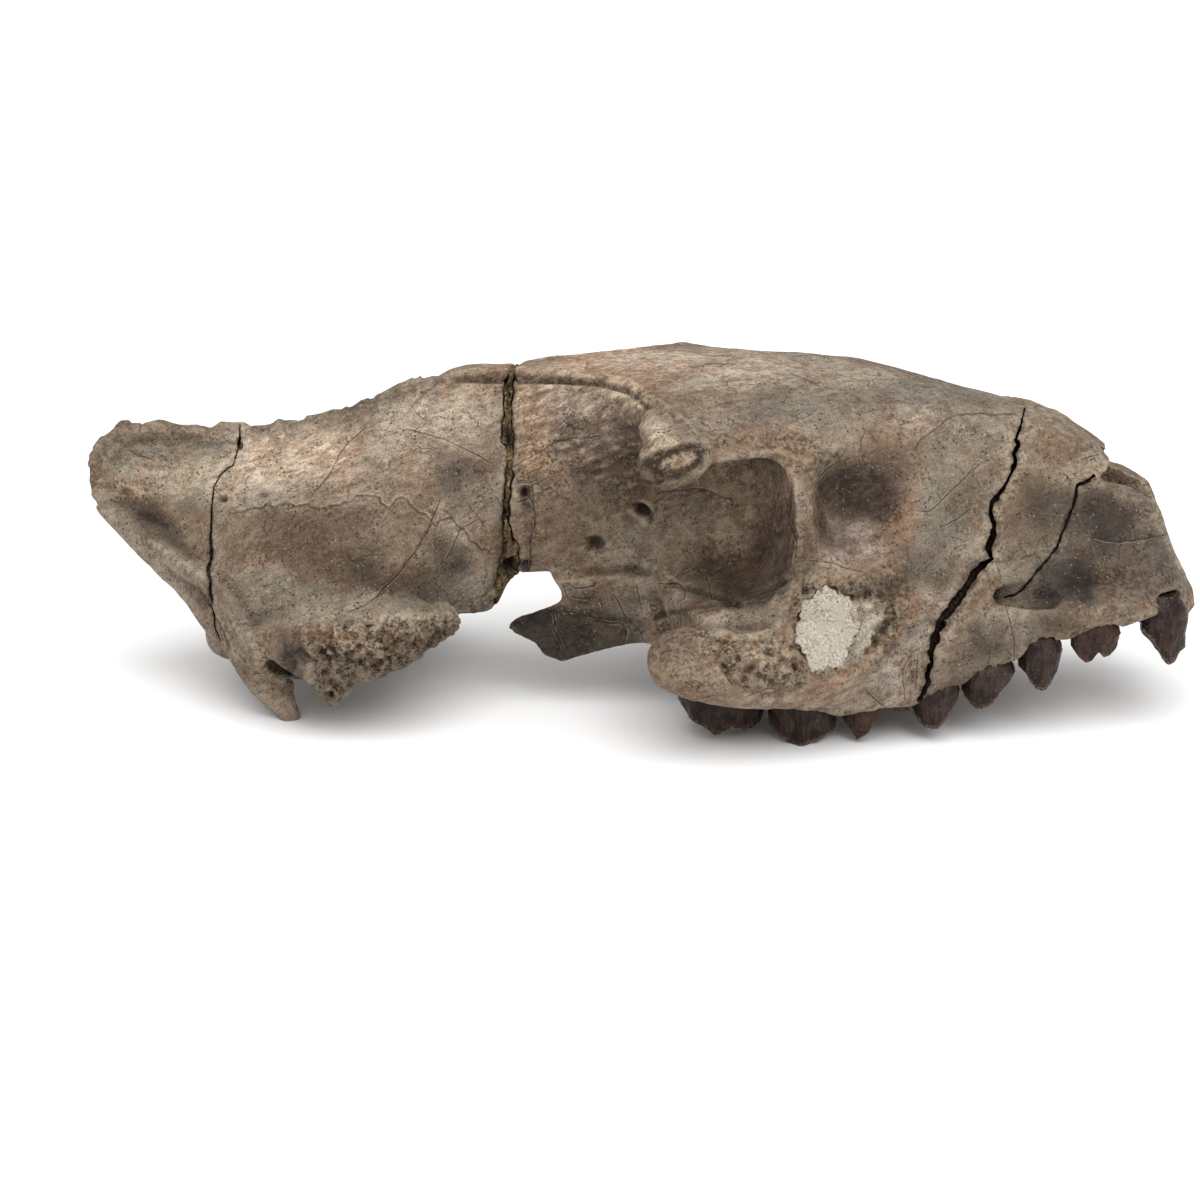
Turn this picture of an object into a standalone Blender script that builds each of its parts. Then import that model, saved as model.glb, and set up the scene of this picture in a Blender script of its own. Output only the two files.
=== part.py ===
"""Fossil oreodont skull without its lower jaw, resting on its cheek teeth and two rear prongs.

Metres, +Z up. The muzzle points along +X and the skull's left side is +Y. The origin is on the
surface that the skull rests on, under the middle of its length.
"""
import math

import bmesh
import bpy
from mathutils import Matrix, Vector

MM = 0.001
NAME = "oreodont_skull"

# Driving dimensions, in millimetres.
SKULL_HALF_LENGTH = 113.4
BREAK_GAP = 1.8
FILLING_GAP = 0.3        # clearance between pieces that touch
FILLING_SHRINK = (0.93, 0.92)   # how far the filling lies inside the bone, across and up
FILLING_CENTRE_Z = 46.0
BONE_VOXEL = 1.5         # grain of the fused bone
BONE_TRIANGLES = 5000    # for both bone fragments together
RING_POINTS = 40         # points round one section of the bone
LOFT_STEP = 3.0          # distance between sections of the bone
ROOT_DEPTH = 3.5         # how far a tooth reaches into the bone
CHEWING_HOLLOW = 1.6     # depth of the hollow between a tooth's cusps
TOOTH_SQUARENESS = 0.7   # 1 is an oval crown, 0 a square one
BLOCK_REACH = 130.0      # how far the cutting blocks reach past the bone


def clear_scene():
    for obj in list(bpy.data.objects):
        bpy.data.objects.remove(obj, do_unlink=True)


def new_object(name, mesh, collection):
    obj = bpy.data.objects.new(name, mesh)
    collection.objects.link(obj)
    return obj


def material(name, colour, roughness):
    mat = bpy.data.materials.new(name)
    mat.use_nodes = True
    shader = mat.node_tree.nodes["Principled BSDF"]
    shader.inputs["Base Color"].default_value = (*colour, 1.0)
    shader.inputs["Roughness"].default_value = roughness
    shader.inputs["Metallic"].default_value = 0.0
    return mat


# Smooth curves and the bodies made from them.

def smooth_point(points, position, closed):
    """The point at a position counted in points, on a smooth curve through all of them."""
    count = len(points)
    last = count if closed else count - 1
    index = min(int(math.floor(position)), last - 1)
    part = position - index

    def pick(i):
        if closed:
            return Vector(points[i % count])
        return Vector(points[max(0, min(count - 1, i))])

    before, start, end, after = (pick(index + i) for i in (-1, 0, 1, 2))
    return 0.5 * (2.0 * start + (end - before) * part
                  + (2.0 * before - 5.0 * start + 4.0 * end - after) * part ** 2
                  + (3.0 * start - before - 3.0 * end + after) * part ** 3)


def smooth_curve(points, count, closed=False):
    spans = len(points) if closed else len(points) - 1
    steps = count if closed else count - 1
    return [smooth_point(points, spans * i / steps, closed) for i in range(count)]


def loft(name, rings, collection):
    """A closed body through rings of equal point counts, with fan caps."""
    bm = bmesh.new()
    rows = [[bm.verts.new(Vector(point) * MM) for point in ring] for ring in rings]
    for low, high in zip(rows, rows[1:]):
        for i in range(len(low)):
            j = (i + 1) % len(low)
            bm.faces.new((low[i], low[j], high[j], high[i]))
    for row in (rows[0], rows[-1]):
        centre = bm.verts.new(sum((v.co for v in row), Vector()) / len(row))
        for i in range(len(row)):
            bm.faces.new((row[i], row[(i + 1) % len(row)], centre))
    bmesh.ops.recalc_face_normals(bm, faces=bm.faces)
    mesh = bpy.data.meshes.new(name)
    bm.to_mesh(mesh)
    bm.free()
    return new_object(name, mesh, collection)


def between_stations(stations, step):
    """Sections at even steps along X, on smooth curves through the given stations."""
    rings = []
    for index in range(len(stations) - 1):
        length = abs(stations[index + 1][0][0] - stations[index][0][0])
        pieces = max(1, round(length / step))
        for k in range(pieces):
            rings.append(index + k / pieces)
    rings.append(len(stations) - 1)
    columns = list(zip(*stations))
    return [[smooth_point(column, position, False) for column in columns] for position in rings]


def rod(name, points, collection):
    """A knobbly rod through (x, y, z, radius) points, from a curve with round ends."""
    data = bpy.data.curves.new(name, "CURVE")
    data.dimensions = "3D"
    data.bevel_depth = MM
    data.bevel_resolution = 3
    data.use_fill_caps = True
    run = smooth_curve([(x, y, z) for x, y, z, r in points], 6 * len(points))
    radii = smooth_curve([(r, 0.0, 0.0) for x, y, z, r in points], 6 * len(points))
    spline = data.splines.new("POLY")
    spline.points.add(len(run) - 1)
    for point, place, radius in zip(spline.points, run, radii):
        point.co = (*(place * MM), 1.0)
        point.radius = radius.x
    curve = new_object(name + "_curve", data, collection)
    graph = bpy.context.evaluated_depsgraph_get()
    mesh = bpy.data.meshes.new_from_object(curve.evaluated_get(graph))
    bpy.data.objects.remove(curve, do_unlink=True)
    bm = bmesh.new()
    bm.from_mesh(mesh)
    bmesh.ops.remove_doubles(bm, verts=bm.verts, dist=0.01 * MM)
    bm.to_mesh(mesh)
    bm.free()
    return new_object(name, mesh, collection)


def ball(name, centre, radii, collection, tilt=(0.0, 0.0, 0.0), segments=32):
    """An oval ball; tilt is its turn about X, Y and Z in degrees."""
    bm = bmesh.new()
    bmesh.ops.create_uvsphere(bm, u_segments=segments, v_segments=segments // 2, radius=1.0)
    turn = Matrix.Identity(4)
    for axis, angle in zip("XYZ", tilt):
        turn = Matrix.Rotation(math.radians(angle), 4, axis) @ turn
    size = Matrix.Diagonal((*(Vector(radii) * MM), 1.0))
    bmesh.ops.transform(bm, verts=bm.verts,
                        matrix=Matrix.Translation(Vector(centre) * MM) @ turn @ size)
    mesh = bpy.data.meshes.new(name)
    bm.to_mesh(mesh)
    bm.free()
    return new_object(name, mesh, collection)


def plate(name, outline, side, half_thickness, collection):
    """A plate from its outline in side view (x, z), standing at a sideways distance."""
    data = bpy.data.curves.new(name, "CURVE")
    data.dimensions = "2D"
    data.fill_mode = "BOTH"
    data.extrude = half_thickness * MM
    spline = data.splines.new("POLY")
    spline.points.add(len(outline) - 1)
    for point, (x, z) in zip(spline.points, outline):
        point.co = (x * MM, z * MM, 0.0, 1.0)
    spline.use_cyclic_u = True
    curve = new_object(name + "_curve", data, collection)
    curve.matrix_world = (Matrix.Translation((0.0, side * MM, 0.0))
                          @ Matrix.Rotation(math.radians(90.0), 4, "X"))
    bpy.context.view_layer.update()
    graph = bpy.context.evaluated_depsgraph_get()
    mesh = bpy.data.meshes.new_from_object(curve.evaluated_get(graph))
    mesh.transform(curve.matrix_world)
    bpy.data.objects.remove(curve, do_unlink=True)
    bm = bmesh.new()
    bm.from_mesh(mesh)
    bmesh.ops.remove_doubles(bm, verts=bm.verts, dist=0.01 * MM)
    bmesh.ops.recalc_face_normals(bm, faces=bm.faces)
    bm.to_mesh(mesh)
    bm.free()
    return new_object(name, mesh, collection)


def flip_side(mesh):
    mesh.transform(Matrix.Diagonal((1.0, -1.0, 1.0, 1.0)))
    mesh.flip_normals()


def mirrored(obj, collection):
    """A copy of a right-side body on the left side."""
    mesh = obj.data.copy()
    flip_side(mesh)
    return new_object(obj.name.replace("right", "left"), mesh, collection)


def evaluated(obj):
    graph = bpy.context.evaluated_depsgraph_get()
    mesh = bpy.data.meshes.new_from_object(obj.evaluated_get(graph))
    obj.modifiers.clear()
    obj.data = mesh


def join(name, parts, collection):
    """One object with all the parts' faces; the parts are removed."""
    bm = bmesh.new()
    for part in parts:
        bm.from_mesh(part.data)
        bpy.data.objects.remove(part, do_unlink=True)
    mesh = bpy.data.meshes.new(name)
    bm.to_mesh(mesh)
    bm.free()
    return new_object(name, mesh, collection)


def fuse(obj, voxel):
    remesh = obj.modifiers.new("fuse", "REMESH")
    remesh.mode = "VOXEL"
    remesh.voxel_size = voxel * MM
    evaluated(obj)


def as_cutter(obj):
    obj.hide_render = True
    obj.display_type = "WIRE"
    return obj


def cut(obj, cutter, operation="DIFFERENCE"):
    boolean = obj.modifiers.new("cut", "BOOLEAN")
    boolean.operation = operation
    boolean.solver = "EXACT"
    boolean.object = cutter
    evaluated(obj)


# The bone. Each row is one section: its place, its distance forward, and nine points of its right
# half as (outward, up), from the middle of the top round the side to the middle of the underside.
BONE_SECTIONS = (
    ("tip of the crest", -113.4,
     (0, 46.5), (0.8, 46.4), (1.6, 45.8), (2.0, 44.8), (2.2, 43.8), (2.0, 42.8), (1.5, 41.9),
     (0.8, 41.3), (0, 41.2)),
    ("back edge of the crest", -111.8,
     (0, 50.0), (1.6, 49.6), (3.0, 47.6), (4.0, 45.0), (4.5, 42.0), (4.2, 39.8), (3.0, 38.0),
     (1.5, 37.4), (0, 38.0)),
    ("fan of the crest", -106.5,
     (0, 55.3), (2.2, 54.8), (3.4, 51.0), (4.2, 46.5), (5.4, 41.0), (6.4, 36.5), (6.0, 32.8),
     (3.0, 33.5), (0, 35.5)),
    ("wings below the crest", -99.0,
     (0, 56.0), (2.0, 55.4), (3.4, 51.0), (4.6, 45.0), (7.0, 38.0), (10.0, 31.5), (9.6, 26.6),
     (5.0, 28.5), (0, 32.0)),
    ("back of the skull, upper", -92.0,
     (0, 55.4), (1.7, 54.8), (3.6, 51.0), (7.0, 45.0), (11.0, 37.5), (13.6, 29.0), (12.6, 21.5),
     (6.0, 22.5), (0, 25.0)),
    ("back of the skull, lower", -86.5,
     (0, 55.6), (1.6, 55.0), (4.0, 51.5), (9.0, 45.0), (14.5, 37.0), (18.0, 27.5), (18.0, 17.0),
     (9.0, 13.0), (0, 14.5)),
    ("rear of the braincase", -80.0,
     (0, 55.9), (1.6, 55.3), (5.0, 51.5), (12.5, 45.0), (19.5, 36.5), (23.5, 26.0), (22.5, 14.0),
     (11.0, 9.0), (0, 10.0)),
    ("braincase behind the ear", -70.0,
     (0, 56.4), (1.6, 55.8), (7.0, 51.5), (17.0, 45.5), (25.0, 37.0), (28.0, 27.0), (25.5, 14.0),
     (13.0, 9.5), (0, 11.0)),
    ("braincase above the ear", -60.0,
     (0, 59.2), (1.6, 58.6), (8.0, 53.5), (19.0, 46.5), (27.5, 38.0), (30.5, 28.0), (30.0, 15.5),
     (14.0, 11.0), (0, 12.5)),
    ("widest braincase", -50.0,
     (0, 63.0), (1.7, 62.4), (9.0, 56.0), (19.5, 48.5), (27.5, 39.0), (29.4, 29.0), (28.0, 17.5),
     (12.0, 14.0), (0, 14.5)),
    ("front of the braincase", -40.0,
     (0, 66.6), (2.4, 66.0), (9.5, 58.5), (17.5, 51.0), (22.5, 43.0), (24.0, 32.0), (20.0, 21.5),
     (8.0, 17.5), (0, 18.0)),
    ("where the crest parts", -31.0,
     (0, 67.9), (2.0, 67.4), (7.5, 60.5), (13.5, 53.0), (17.5, 45.0), (18.5, 34.0), (14.0, 22.5),
     (8.0, 18.3), (0, 18.6)),
    ("lip of the break", -28.2,
     (0, 68.1), (2.2, 67.6), (8.0, 61.0), (13.5, 53.5), (17.0, 45.0), (17.0, 34.0), (12.5, 24.0),
     (7.0, 19.6), (0, 20.0)),
    ("the narrow waist", -24.0,
     (0, 68.3), (2.8, 67.8), (9.0, 61.5), (13.8, 54.0), (15.8, 46.0), (14.5, 36.0), (10.5, 28.0),
     (5.0, 25.8), (0, 26.0)),
    ("temple", -12.0,
     (0, 69.0), (8.4, 68.4), (12.0, 63.0), (14.0, 56.0), (14.4, 48.0), (13.0, 38.0), (11.0, 30.0),
     (6.0, 26.8), (0, 26.6)),
    ("temple behind the brow", -3.5,
     (0, 69.5), (13.6, 68.2), (17.0, 63.5), (16.5, 57.0), (13.8, 48.0), (12.5, 38.0), (11.5, 30.0),
     (6.5, 26.8), (0, 26.6)),
    ("brow corner", 3.0,
     (0, 69.8), (20.6, 67.6), (25.0, 63.6), (21.0, 57.0), (14.0, 48.0), (12.6, 38.0), (12.0, 30.0),
     (7.0, 26.8), (0, 26.6)),
    ("behind the last molar", 9.0,
     (0, 70.0), (28.0, 66.6), (34.0, 62.4), (31.0, 55.5), (20.0, 46.0), (18.0, 34.0), (24.0, 19.0),
     (14.0, 18.0), (0, 22.0)),
    ("last molar", 14.0,
     (0, 70.1), (29.6, 66.0), (35.6, 61.4), (36.0, 54.0), (36.0, 44.0), (38.0, 30.0), (34.0, 12.0),
     (17.0, 11.0), (0, 20.0)),
    ("middle of the eye socket", 25.0,
     (0, 69.8), (27.0, 65.8), (34.0, 60.6), (35.6, 54.0), (36.6, 44.0), (39.5, 30.0), (34.5, 9.5),
     (17.0, 9.0), (0, 19.0)),
    ("front rim of the eye socket", 34.0,
     (0, 69.1), (20.5, 67.0), (30.5, 61.5), (35.0, 53.5), (37.0, 43.0), (39.0, 30.0), (34.8, 8.3),
     (17.5, 8.0), (0, 18.5)),
    ("pit in front of the eye", 44.0,
     (0, 68.2), (17.5, 66.8), (26.0, 61.5), (30.0, 53.0), (33.0, 43.0), (37.0, 29.0), (34.5, 7.4),
     (17.5, 7.6), (0, 18.5)),
    ("first molar", 54.0,
     (0, 66.7), (13.0, 65.4), (20.5, 60.5), (25.5, 52.0), (29.0, 41.0), (32.0, 28.0), (32.8, 8.4),
     (17.5, 9.0), (0, 19.0)),
    ("fourth premolar", 64.0,
     (0, 64.8), (10.5, 63.4), (16.0, 58.5), (20.5, 50.5), (24.5, 39.5), (28.0, 26.0), (30.0, 11.6),
     (17.0, 12.5), (0, 20.5)),
    ("third premolar", 74.0,
     (0, 62.4), (9.0, 61.0), (12.5, 56.5), (16.5, 49.0), (20.5, 38.5), (24.0, 26.0), (27.4, 15.6),
     (16.0, 16.5), (0, 22.5)),
    ("second premolar", 83.0,
     (0, 59.6), (8.0, 58.6), (10.8, 54.5), (14.0, 47.0), (17.5, 37.5), (21.5, 26.5), (24.6, 19.3),
     (15.0, 20.0), (0, 24.0)),
    ("first premolar", 92.0,
     (0, 55.0), (6.8, 54.4), (9.8, 51.0), (12.4, 45.5), (15.4, 37.5), (19.4, 27.5), (22.0, 20.8),
     (13.0, 21.5), (0, 24.5)),
    ("nose opening", 98.0,
     (0, 47.8), (6.4, 49.2), (9.8, 49.6), (12.6, 45.6), (14.8, 38.6), (18.6, 28.5), (20.8, 22.0),
     (12.0, 22.5), (0, 24.5)),
    ("canine", 104.0,
     (0, 40.4), (6.4, 43.0), (10.0, 44.0), (12.6, 40.6), (14.8, 34.6), (17.6, 28.0), (19.2, 23.8),
     (11.0, 22.0), (0, 23.5)),
    ("front of the muzzle", 110.0,
     (0, 29.4), (4.6, 29.4), (8.0, 28.8), (10.8, 27.6), (12.8, 25.8), (13.8, 23.8), (13.0, 21.6),
     (7.0, 20.2), (0, 21.0)),
    ("tip of the muzzle", 113.4,
     (0, 23.8), (1.5, 23.8), (3.0, 23.7), (4.2, 23.3), (5.0, 22.7), (5.0, 22.0), (4.0, 21.4),
     (2.0, 21.1), (0, 21.0)),
)


def bone_core(collection):
    stations = []
    for place, x, *half in BONE_SECTIONS:
        right = [Vector((x, -out, up)) for out, up in half]
        left = [Vector((x, out, up)) for out, up in half[-2:0:-1]]
        stations.append(right + left)
    rings = [smooth_curve(ring, RING_POINTS, closed=True)
             for ring in between_stations(stations, LOFT_STEP)]
    return loft("bone_core", rings, collection)


def cheek_stumps(collection):
    """The cheek bone below each eye socket, broken off at its rear end."""
    right = rod("right_cheek", (
        (64.0, -20.0, 18.0, 4.0), (54.0, -26.6, 16.5, 6.0), (44.0, -31.0, 17.5, 8.0),
        (34.0, -36.6, 18.0, 8.8),
        (24.0, -41.2, 18.2, 7.8),
        (15.0, -43.0, 19.5, 7.2), (9.4, -43.5, 20.5, 6.2)), collection)
    return [right, mirrored(right, collection)]


def arch_roots(collection):
    """The root of the cheek arch on each side of the braincase, broken off short."""
    shelf = rod("right_arch_root", (
        (-76.0, -26.0, 15.0, 4.0), (-68.0, -30.0, 18.0, 5.0), (-60.0, -33.5, 17.5, 6.5),
        (-52.0, -34.5, 18.0, 6.0), (-45.0, -31.0, 19.0, 5.0), (-38.0, -23.0, 21.0, 4.0)),
        collection)
    knob = rod("right_knob", (
        (-58.0, -31.0, 18.0, 7.0), (-58.0, -33.5, 12.0, 4.6), (-58.3, -34.5, 8.2, 2.0)), collection)
    ear = ball("right_ear_block", (-66.0, -25.5, 17.0), (9.0, 6.5, 8.0), collection)
    bodies = [shelf, knob, ear]
    return bodies + [mirrored(body, collection) for body in bodies]


def rear_prongs(collection):
    """The ridge round the back of the skull and the prong that each side rests on."""
    ridge = rod("right_ridge", (
        (-104.0, -5.6, 37.0, 1.8), (-94.0, -11.5, 30.0, 2.4), (-84.0, -21.0, 27.0, 2.6),
        (-78.0, -26.0, 19.0, 2.8), (-74.0, -26.5, 12.0, 3.4)), collection)
    prong = rod("right_prong", (
        (-76.0, -20.0, 14.0, 6.0), (-73.0, -23.0, 8.0, 4.6), (-70.0, -23.8, 3.0, 3.0),
        (-68.6, -23.9, -0.6, 2.3)), collection)
    bodies = [ridge, prong]
    return bodies + [mirrored(body, collection) for body in bodies]


def neck_joint(collection):
    """The two knobs at the back that carried the skull on the neck."""
    right = ball("right_neck_knob", (-82.5, -8.5, 13.0), (5.5, 5.5, 6.0), collection,
                 (25.0, 0.0, 0.0))
    return [right, mirrored(right, collection)]


def ear_bulbs(collection):
    right = ball("right_ear_bulb", (-58.0, -16.0, 11.5), (8.0, 6.0, 5.0), collection,
                 (0.0, 0.0, 20.0))
    return [right, mirrored(right, collection)]


def throat_plates(collection):
    """The thin bone walls below the waist; the right one reaches further back."""
    right = plate("right_throat", (
        (8.0, 28.0), (8.0, 13.0), (1.5, 13.6), (-5.0, 12.2), (-10.5, 10.6), (-14.4, 9.0),
        (-18.6, 10.6), (-19.4, 13.0), (-22.5, 14.2), (-25.6, 16.0), (-23.8, 18.4), (-20.0, 19.2),
        (-17.4, 20.8), (-14.6, 21.4), (-14.0, 24.0), (-17.0, 28.0)), -11.4, 1.2, collection)
    left = plate("left_throat", (
        (8.0, 28.0), (8.0, 13.0), (1.5, 13.0), (-4.0, 12.6), (-9.0, 14.0), (-11.0, 18.0),
        (-9.5, 22.0), (-13.0, 28.0)), 11.4, 1.2, collection)
    return [right, left]


def brow_stumps(collection):
    """The stump of the bar behind each eye, broken off under the brow."""
    right = rod("right_brow", (
        (6.0, -28.0, 63.0, 4.0), (7.5, -33.0, 61.0, 4.6), (8.8, -37.0, 58.6, 4.4),
        (9.2, -39.4, 57.0, 3.6)), collection)
    oval_end = ball("right_brow_end", (9.4, -36.0, 58.6), (7.2, 5.4, 4.6), collection,
                    (0.0, -20.0, 0.0))
    return [right, oval_end, mirrored(right, collection), mirrored(oval_end, collection)]


def nose_roof(collection):
    """The two nose bones; the near one is broken back from the tip."""
    left = rod("left_nose_bone", (
        (76.0, 4.0, 60.4, 2.0), (82.0, 4.2, 58.2, 1.9), (88.0, 4.2, 55.6, 1.6),
        (94.0, 3.6, 52.4, 1.2)), collection)
    return [left]


def eye_socket(collection):
    """The hollow of an eye socket: its outline in side view, narrowing towards the middle."""
    pivot_x, pivot_z = -10.0, 43.5
    outline = ((33.6, 52.0), (33.8, 44.0), (31.6, 36.5), (27.0, 31.0), (18.0, 28.6), (4.0, 27.0),
               (-12.0, 31.0), (-18.0, 44.0), (-12.0, 53.0), (4.0, 56.6), (18.0, 58.0),
               (29.0, 58.4), (32.6, 56.6))
    rings = []
    for out, long_scale, high_scale in ((-62.0, 1.04, 1.06), (-36.0, 1.0, 1.0), (-28.0, 0.96, 0.99),
                                        (-21.0, 0.9, 0.97), (-17.5, 0.83, 0.95),
                                        (-15.6, 0.74, 0.9), (-14.8, 0.62, 0.78)):
        rings.append([Vector((pivot_x + long_scale * (x - pivot_x), out,
                              pivot_z + high_scale * (z - pivot_z))) for x, z in outline])
    return loft("right_eye_socket", [smooth_curve(ring, 36, closed=True) for ring in rings],
                collection)


def hollows(collection):
    """The hollows of the skull, as bodies to cut away."""
    right = [
        eye_socket(collection),
        ball("right_face_pit", (45.4, -35.0, 49.6), (10.4, 11.5, 12.4), collection,
             (0.0, 8.0, 20.0)),
        rod("right_nerve_hole", ((82.0, -23.5, 29.0, 3.4), (75.0, -23.0, 28.0, 2.6),
                                 (70.0, -20.0, 27.6, 1.6)), collection),
        ball("right_ear_hollow", (-69.6, -30.0, 12.6), (2.6, 4.0, 4.6), collection),
    ]
    return right + [mirrored(body, collection) for body in right] + [
        ball("nose_cavity", (96.0, 0.0, 40.0), (22.0, 7.8, 11.5), collection, (0.0, 24.0, 0.0)),
        ball("nose_floor", (104.0, 0.0, 35.0), (8.6, 8.8, 5.0), collection, (0.0, 40.0, 0.0)),
        ball("palate_vault", (52.0, 0.0, 8.0), (52.0, 15.5, 10.5), collection, (0.0, -6.0, 0.0)),
        ball("throat", (2.0, 0.0, 17.0), (26.0, 9.6, 9.5), collection, (0.0, 4.0, 0.0)),
        ball("neck_hole", (-84.0, 0.0, 19.0), (14.0, 7.0, 6.0), collection),
    ]


# The teeth, from back to front. Heights run along the crown's lower edge from its back end to its
# front end, on the outer and on the inner side. The second molars are worn down to the floor.
TEETH = (
    dict(name="molar_3", back=9.6, front=27.2, out_back=32.6, out_front=34.0, width=15.5,
         gum=11.0, points=16, outer=(7.0, 3.6, 2.0, 2.8, 3.4), inner=(7.0, 3.6, 4.2, 2.8, 4.0)),
    dict(name="molar_2", back=27.6, front=41.6, out_back=34.0, out_front=34.0, width=15.5,
         gum=9.0, points=16, outer=(2.2, -1.0, 0.3, -1.1, 1.4), inner=(3.4, 0.6, 2.6, 0.6, 2.4)),
    dict(name="molar_1", back=42.0, front=55.8, out_back=34.0, out_front=31.8, width=14.0,
         gum=9.0, points=16, outer=(2.4, 0.7, 6.0, 6.6, 6.2), inner=(5.4, 4.2, 5.2, 5.0, 5.6)),
    dict(name="premolar_4", back=56.3, front=65.5, out_back=31.6, out_front=30.2, width=11.5,
         gum=10.5, points=12, outer=(5.4, 3.2, 5.8), inner=(6.0, 4.6, 6.4)),
    dict(name="premolar_3", back=66.3, front=76.4, out_back=29.9, out_front=27.0, width=9.5,
         gum=14.0, points=12, outer=(10.0, 7.0, 12.0), inner=(10.8, 8.8, 12.4)),
    dict(name="premolar_2", back=77.0, front=85.6, out_back=26.8, out_front=24.4, width=7.5,
         gum=18.0, points=12, outer=(12.4, 10.0, 15.4), inner=(13.0, 11.2, 15.6)),
    dict(name="premolar_1", back=87.2, front=97.4, out_back=23.8, out_front=21.4, width=5.6,
         gum=20.5, points=12, outer=(18.2, 15.4, 19.6, 16.2, 18.4),
         inner=(18.4, 16.0, 19.6, 16.8, 18.6)),
    dict(name="canine", back=101.2, front=109.6, out_back=19.6, out_front=16.6, width=7.4,
         gum=23.5, points=12, outer=(17.0, 13.8, 15.4), inner=(17.6, 14.2, 16.0)),
)

# The left side is hidden in the photograph. These of its teeth are whole there.
LEFT_EDGES = {
    "molar_1": dict(outer=(2.4, 0.8, 2.2, 0.9, 2.6), inner=(3.6, 1.6, 3.4, 1.8, 3.8)),
    "premolar_1": dict(outer=(17.6, 14.4, 14.0, 15.2, 17.8), inner=(17.8, 15.0, 14.8, 15.8, 18.0)),
    "canine": dict(outer=(16.0, 11.0, 14.6), inner=(16.6, 11.6, 15.2)),
}


def height_along(heights, part):
    position = max(0.0, min(1.0, part)) * (len(heights) - 1)
    index = min(int(position), len(heights) - 2)
    return heights[index] + (heights[index + 1] - heights[index]) * (position - index)


def tooth_body(spec, name, grow, collection):
    """One tooth with the stump of its root; grow widens it all round to cut its place."""
    length = spec["front"] - spec["back"]
    middle = Vector(((spec["front"] + spec["back"]) / 2.0,
                     (spec["width"] - spec["out_back"] - spec["out_front"]) / 2.0, 0.0))
    turn = math.atan2(spec["out_back"] - spec["out_front"], length)
    root, belly = spec["gum"] + ROOT_DEPTH + grow, spec["gum"] - 1.0
    # Each level's height, and its length and width as a share of the crown's. The last two are
    # the crown's edge and the inside of its rim, which follow the edge heights.
    levels = ((root, 0.74, 0.64), (belly, 1.0, 1.0), (None, 0.92, 0.86), (None, 0.56, 0.44))
    rings = []
    for height, along, across in levels:
        ring = []
        for i in range(spec["points"]):
            angle = 2.0 * math.pi * (i + 0.5) / spec["points"]
            u = math.copysign(abs(math.cos(angle)) ** TOOTH_SQUARENESS, math.cos(angle))
            w = math.copysign(abs(math.sin(angle)) ** TOOTH_SQUARENESS, math.sin(angle))
            x = u * (length * along / 2.0 + grow)
            y = -w * (spec["width"] * across / 2.0 + grow)
            if height is None:
                outer = height_along(spec["outer"], (u + 1.0) / 2.0)
                inner = height_along(spec["inner"], (u + 1.0) / 2.0)
                level_height = inner + (outer - inner) * (w + 1.0) / 2.0 - grow
            else:
                level_height = height
            ring.append(Vector((middle.x + x * math.cos(turn) - y * math.sin(turn),
                                middle.y + x * math.sin(turn) + y * math.cos(turn), level_height)))
        rings.append(ring)
    tooth = loft(name, rings, collection)
    hollow_middle = tooth.data.vertices[len(tooth.data.vertices) - 1]
    hollow_middle.co.z += CHEWING_HOLLOW * MM
    return tooth


def tooth_on_side(spec, side, ending, grow, collection):
    """A tooth, or with grow the room that it needs in the bone, on one side."""
    shape = dict(spec, **LEFT_EDGES.get(spec["name"], {})) if side == "left" else spec
    tooth = tooth_body(shape, side + "_" + spec["name"] + ending, grow, collection)
    if side == "left":
        flip_side(tooth.data)
    return tooth


# The break, from its top end down: forward distance and height.
BREAK_PATH = ((-24.8, 76.0), (-25.0, 68.0), (-25.6, 62.0), (-25.5, 55.0), (-24.4, 48.0),
              (-25.2, 41.0), (-25.6, 34.5), (-27.6, 25.5), (-28.6, 12.0))


def break_block(name, low, high, collection):
    """A block with wavy ends; low and high are offsets from the break, or a far flat end."""
    def end(offset):
        if abs(offset) == BLOCK_REACH:
            return [(offset, BREAK_PATH[0][1]), (offset, -8.0)]
        return [(x + offset, z) for x, z in BREAK_PATH] + [(BREAK_PATH[-1][0] + offset, -8.0)]
    return plate(name, end(low) + end(high)[::-1], 0.0, 60.0, collection)


# The patch of sediment in the right cheek, round its edge in side view: forward distance and height.
CHEEK_PATCH = ((44.6, 30.6), (42.0, 33.4), (38.0, 34.4), (34.6, 32.4), (33.4, 28.4), (34.4, 24.0),
               (36.6, 20.4), (40.4, 19.4), (43.6, 21.6), (46.2, 25.6))


def cheek_patch(name, shrink, collection):
    """The hollow that holds the cheek filling, narrowing inward; shrink leaves it smaller."""
    centre = Vector((39.8, 0.0, 26.8))
    rings = []
    for out, scale in ((-52.0, 1.1), (-41.0, 1.0), (-36.5, 0.8), (-34.0, 0.4)):
        ring = []
        for x, z in CHEEK_PATCH:
            offset = (Vector((x, 0.0, z)) - centre) * scale
            offset -= offset.normalized() * shrink
            ring.append(centre + offset + Vector((0.0, out - shrink, 0.0)))
        rings.append(smooth_curve(ring, 20, closed=True))
    return loft(name, rings, collection)


def copy_of(obj, name, collection):
    return new_object(name, obj.data.copy(), collection)


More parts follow.
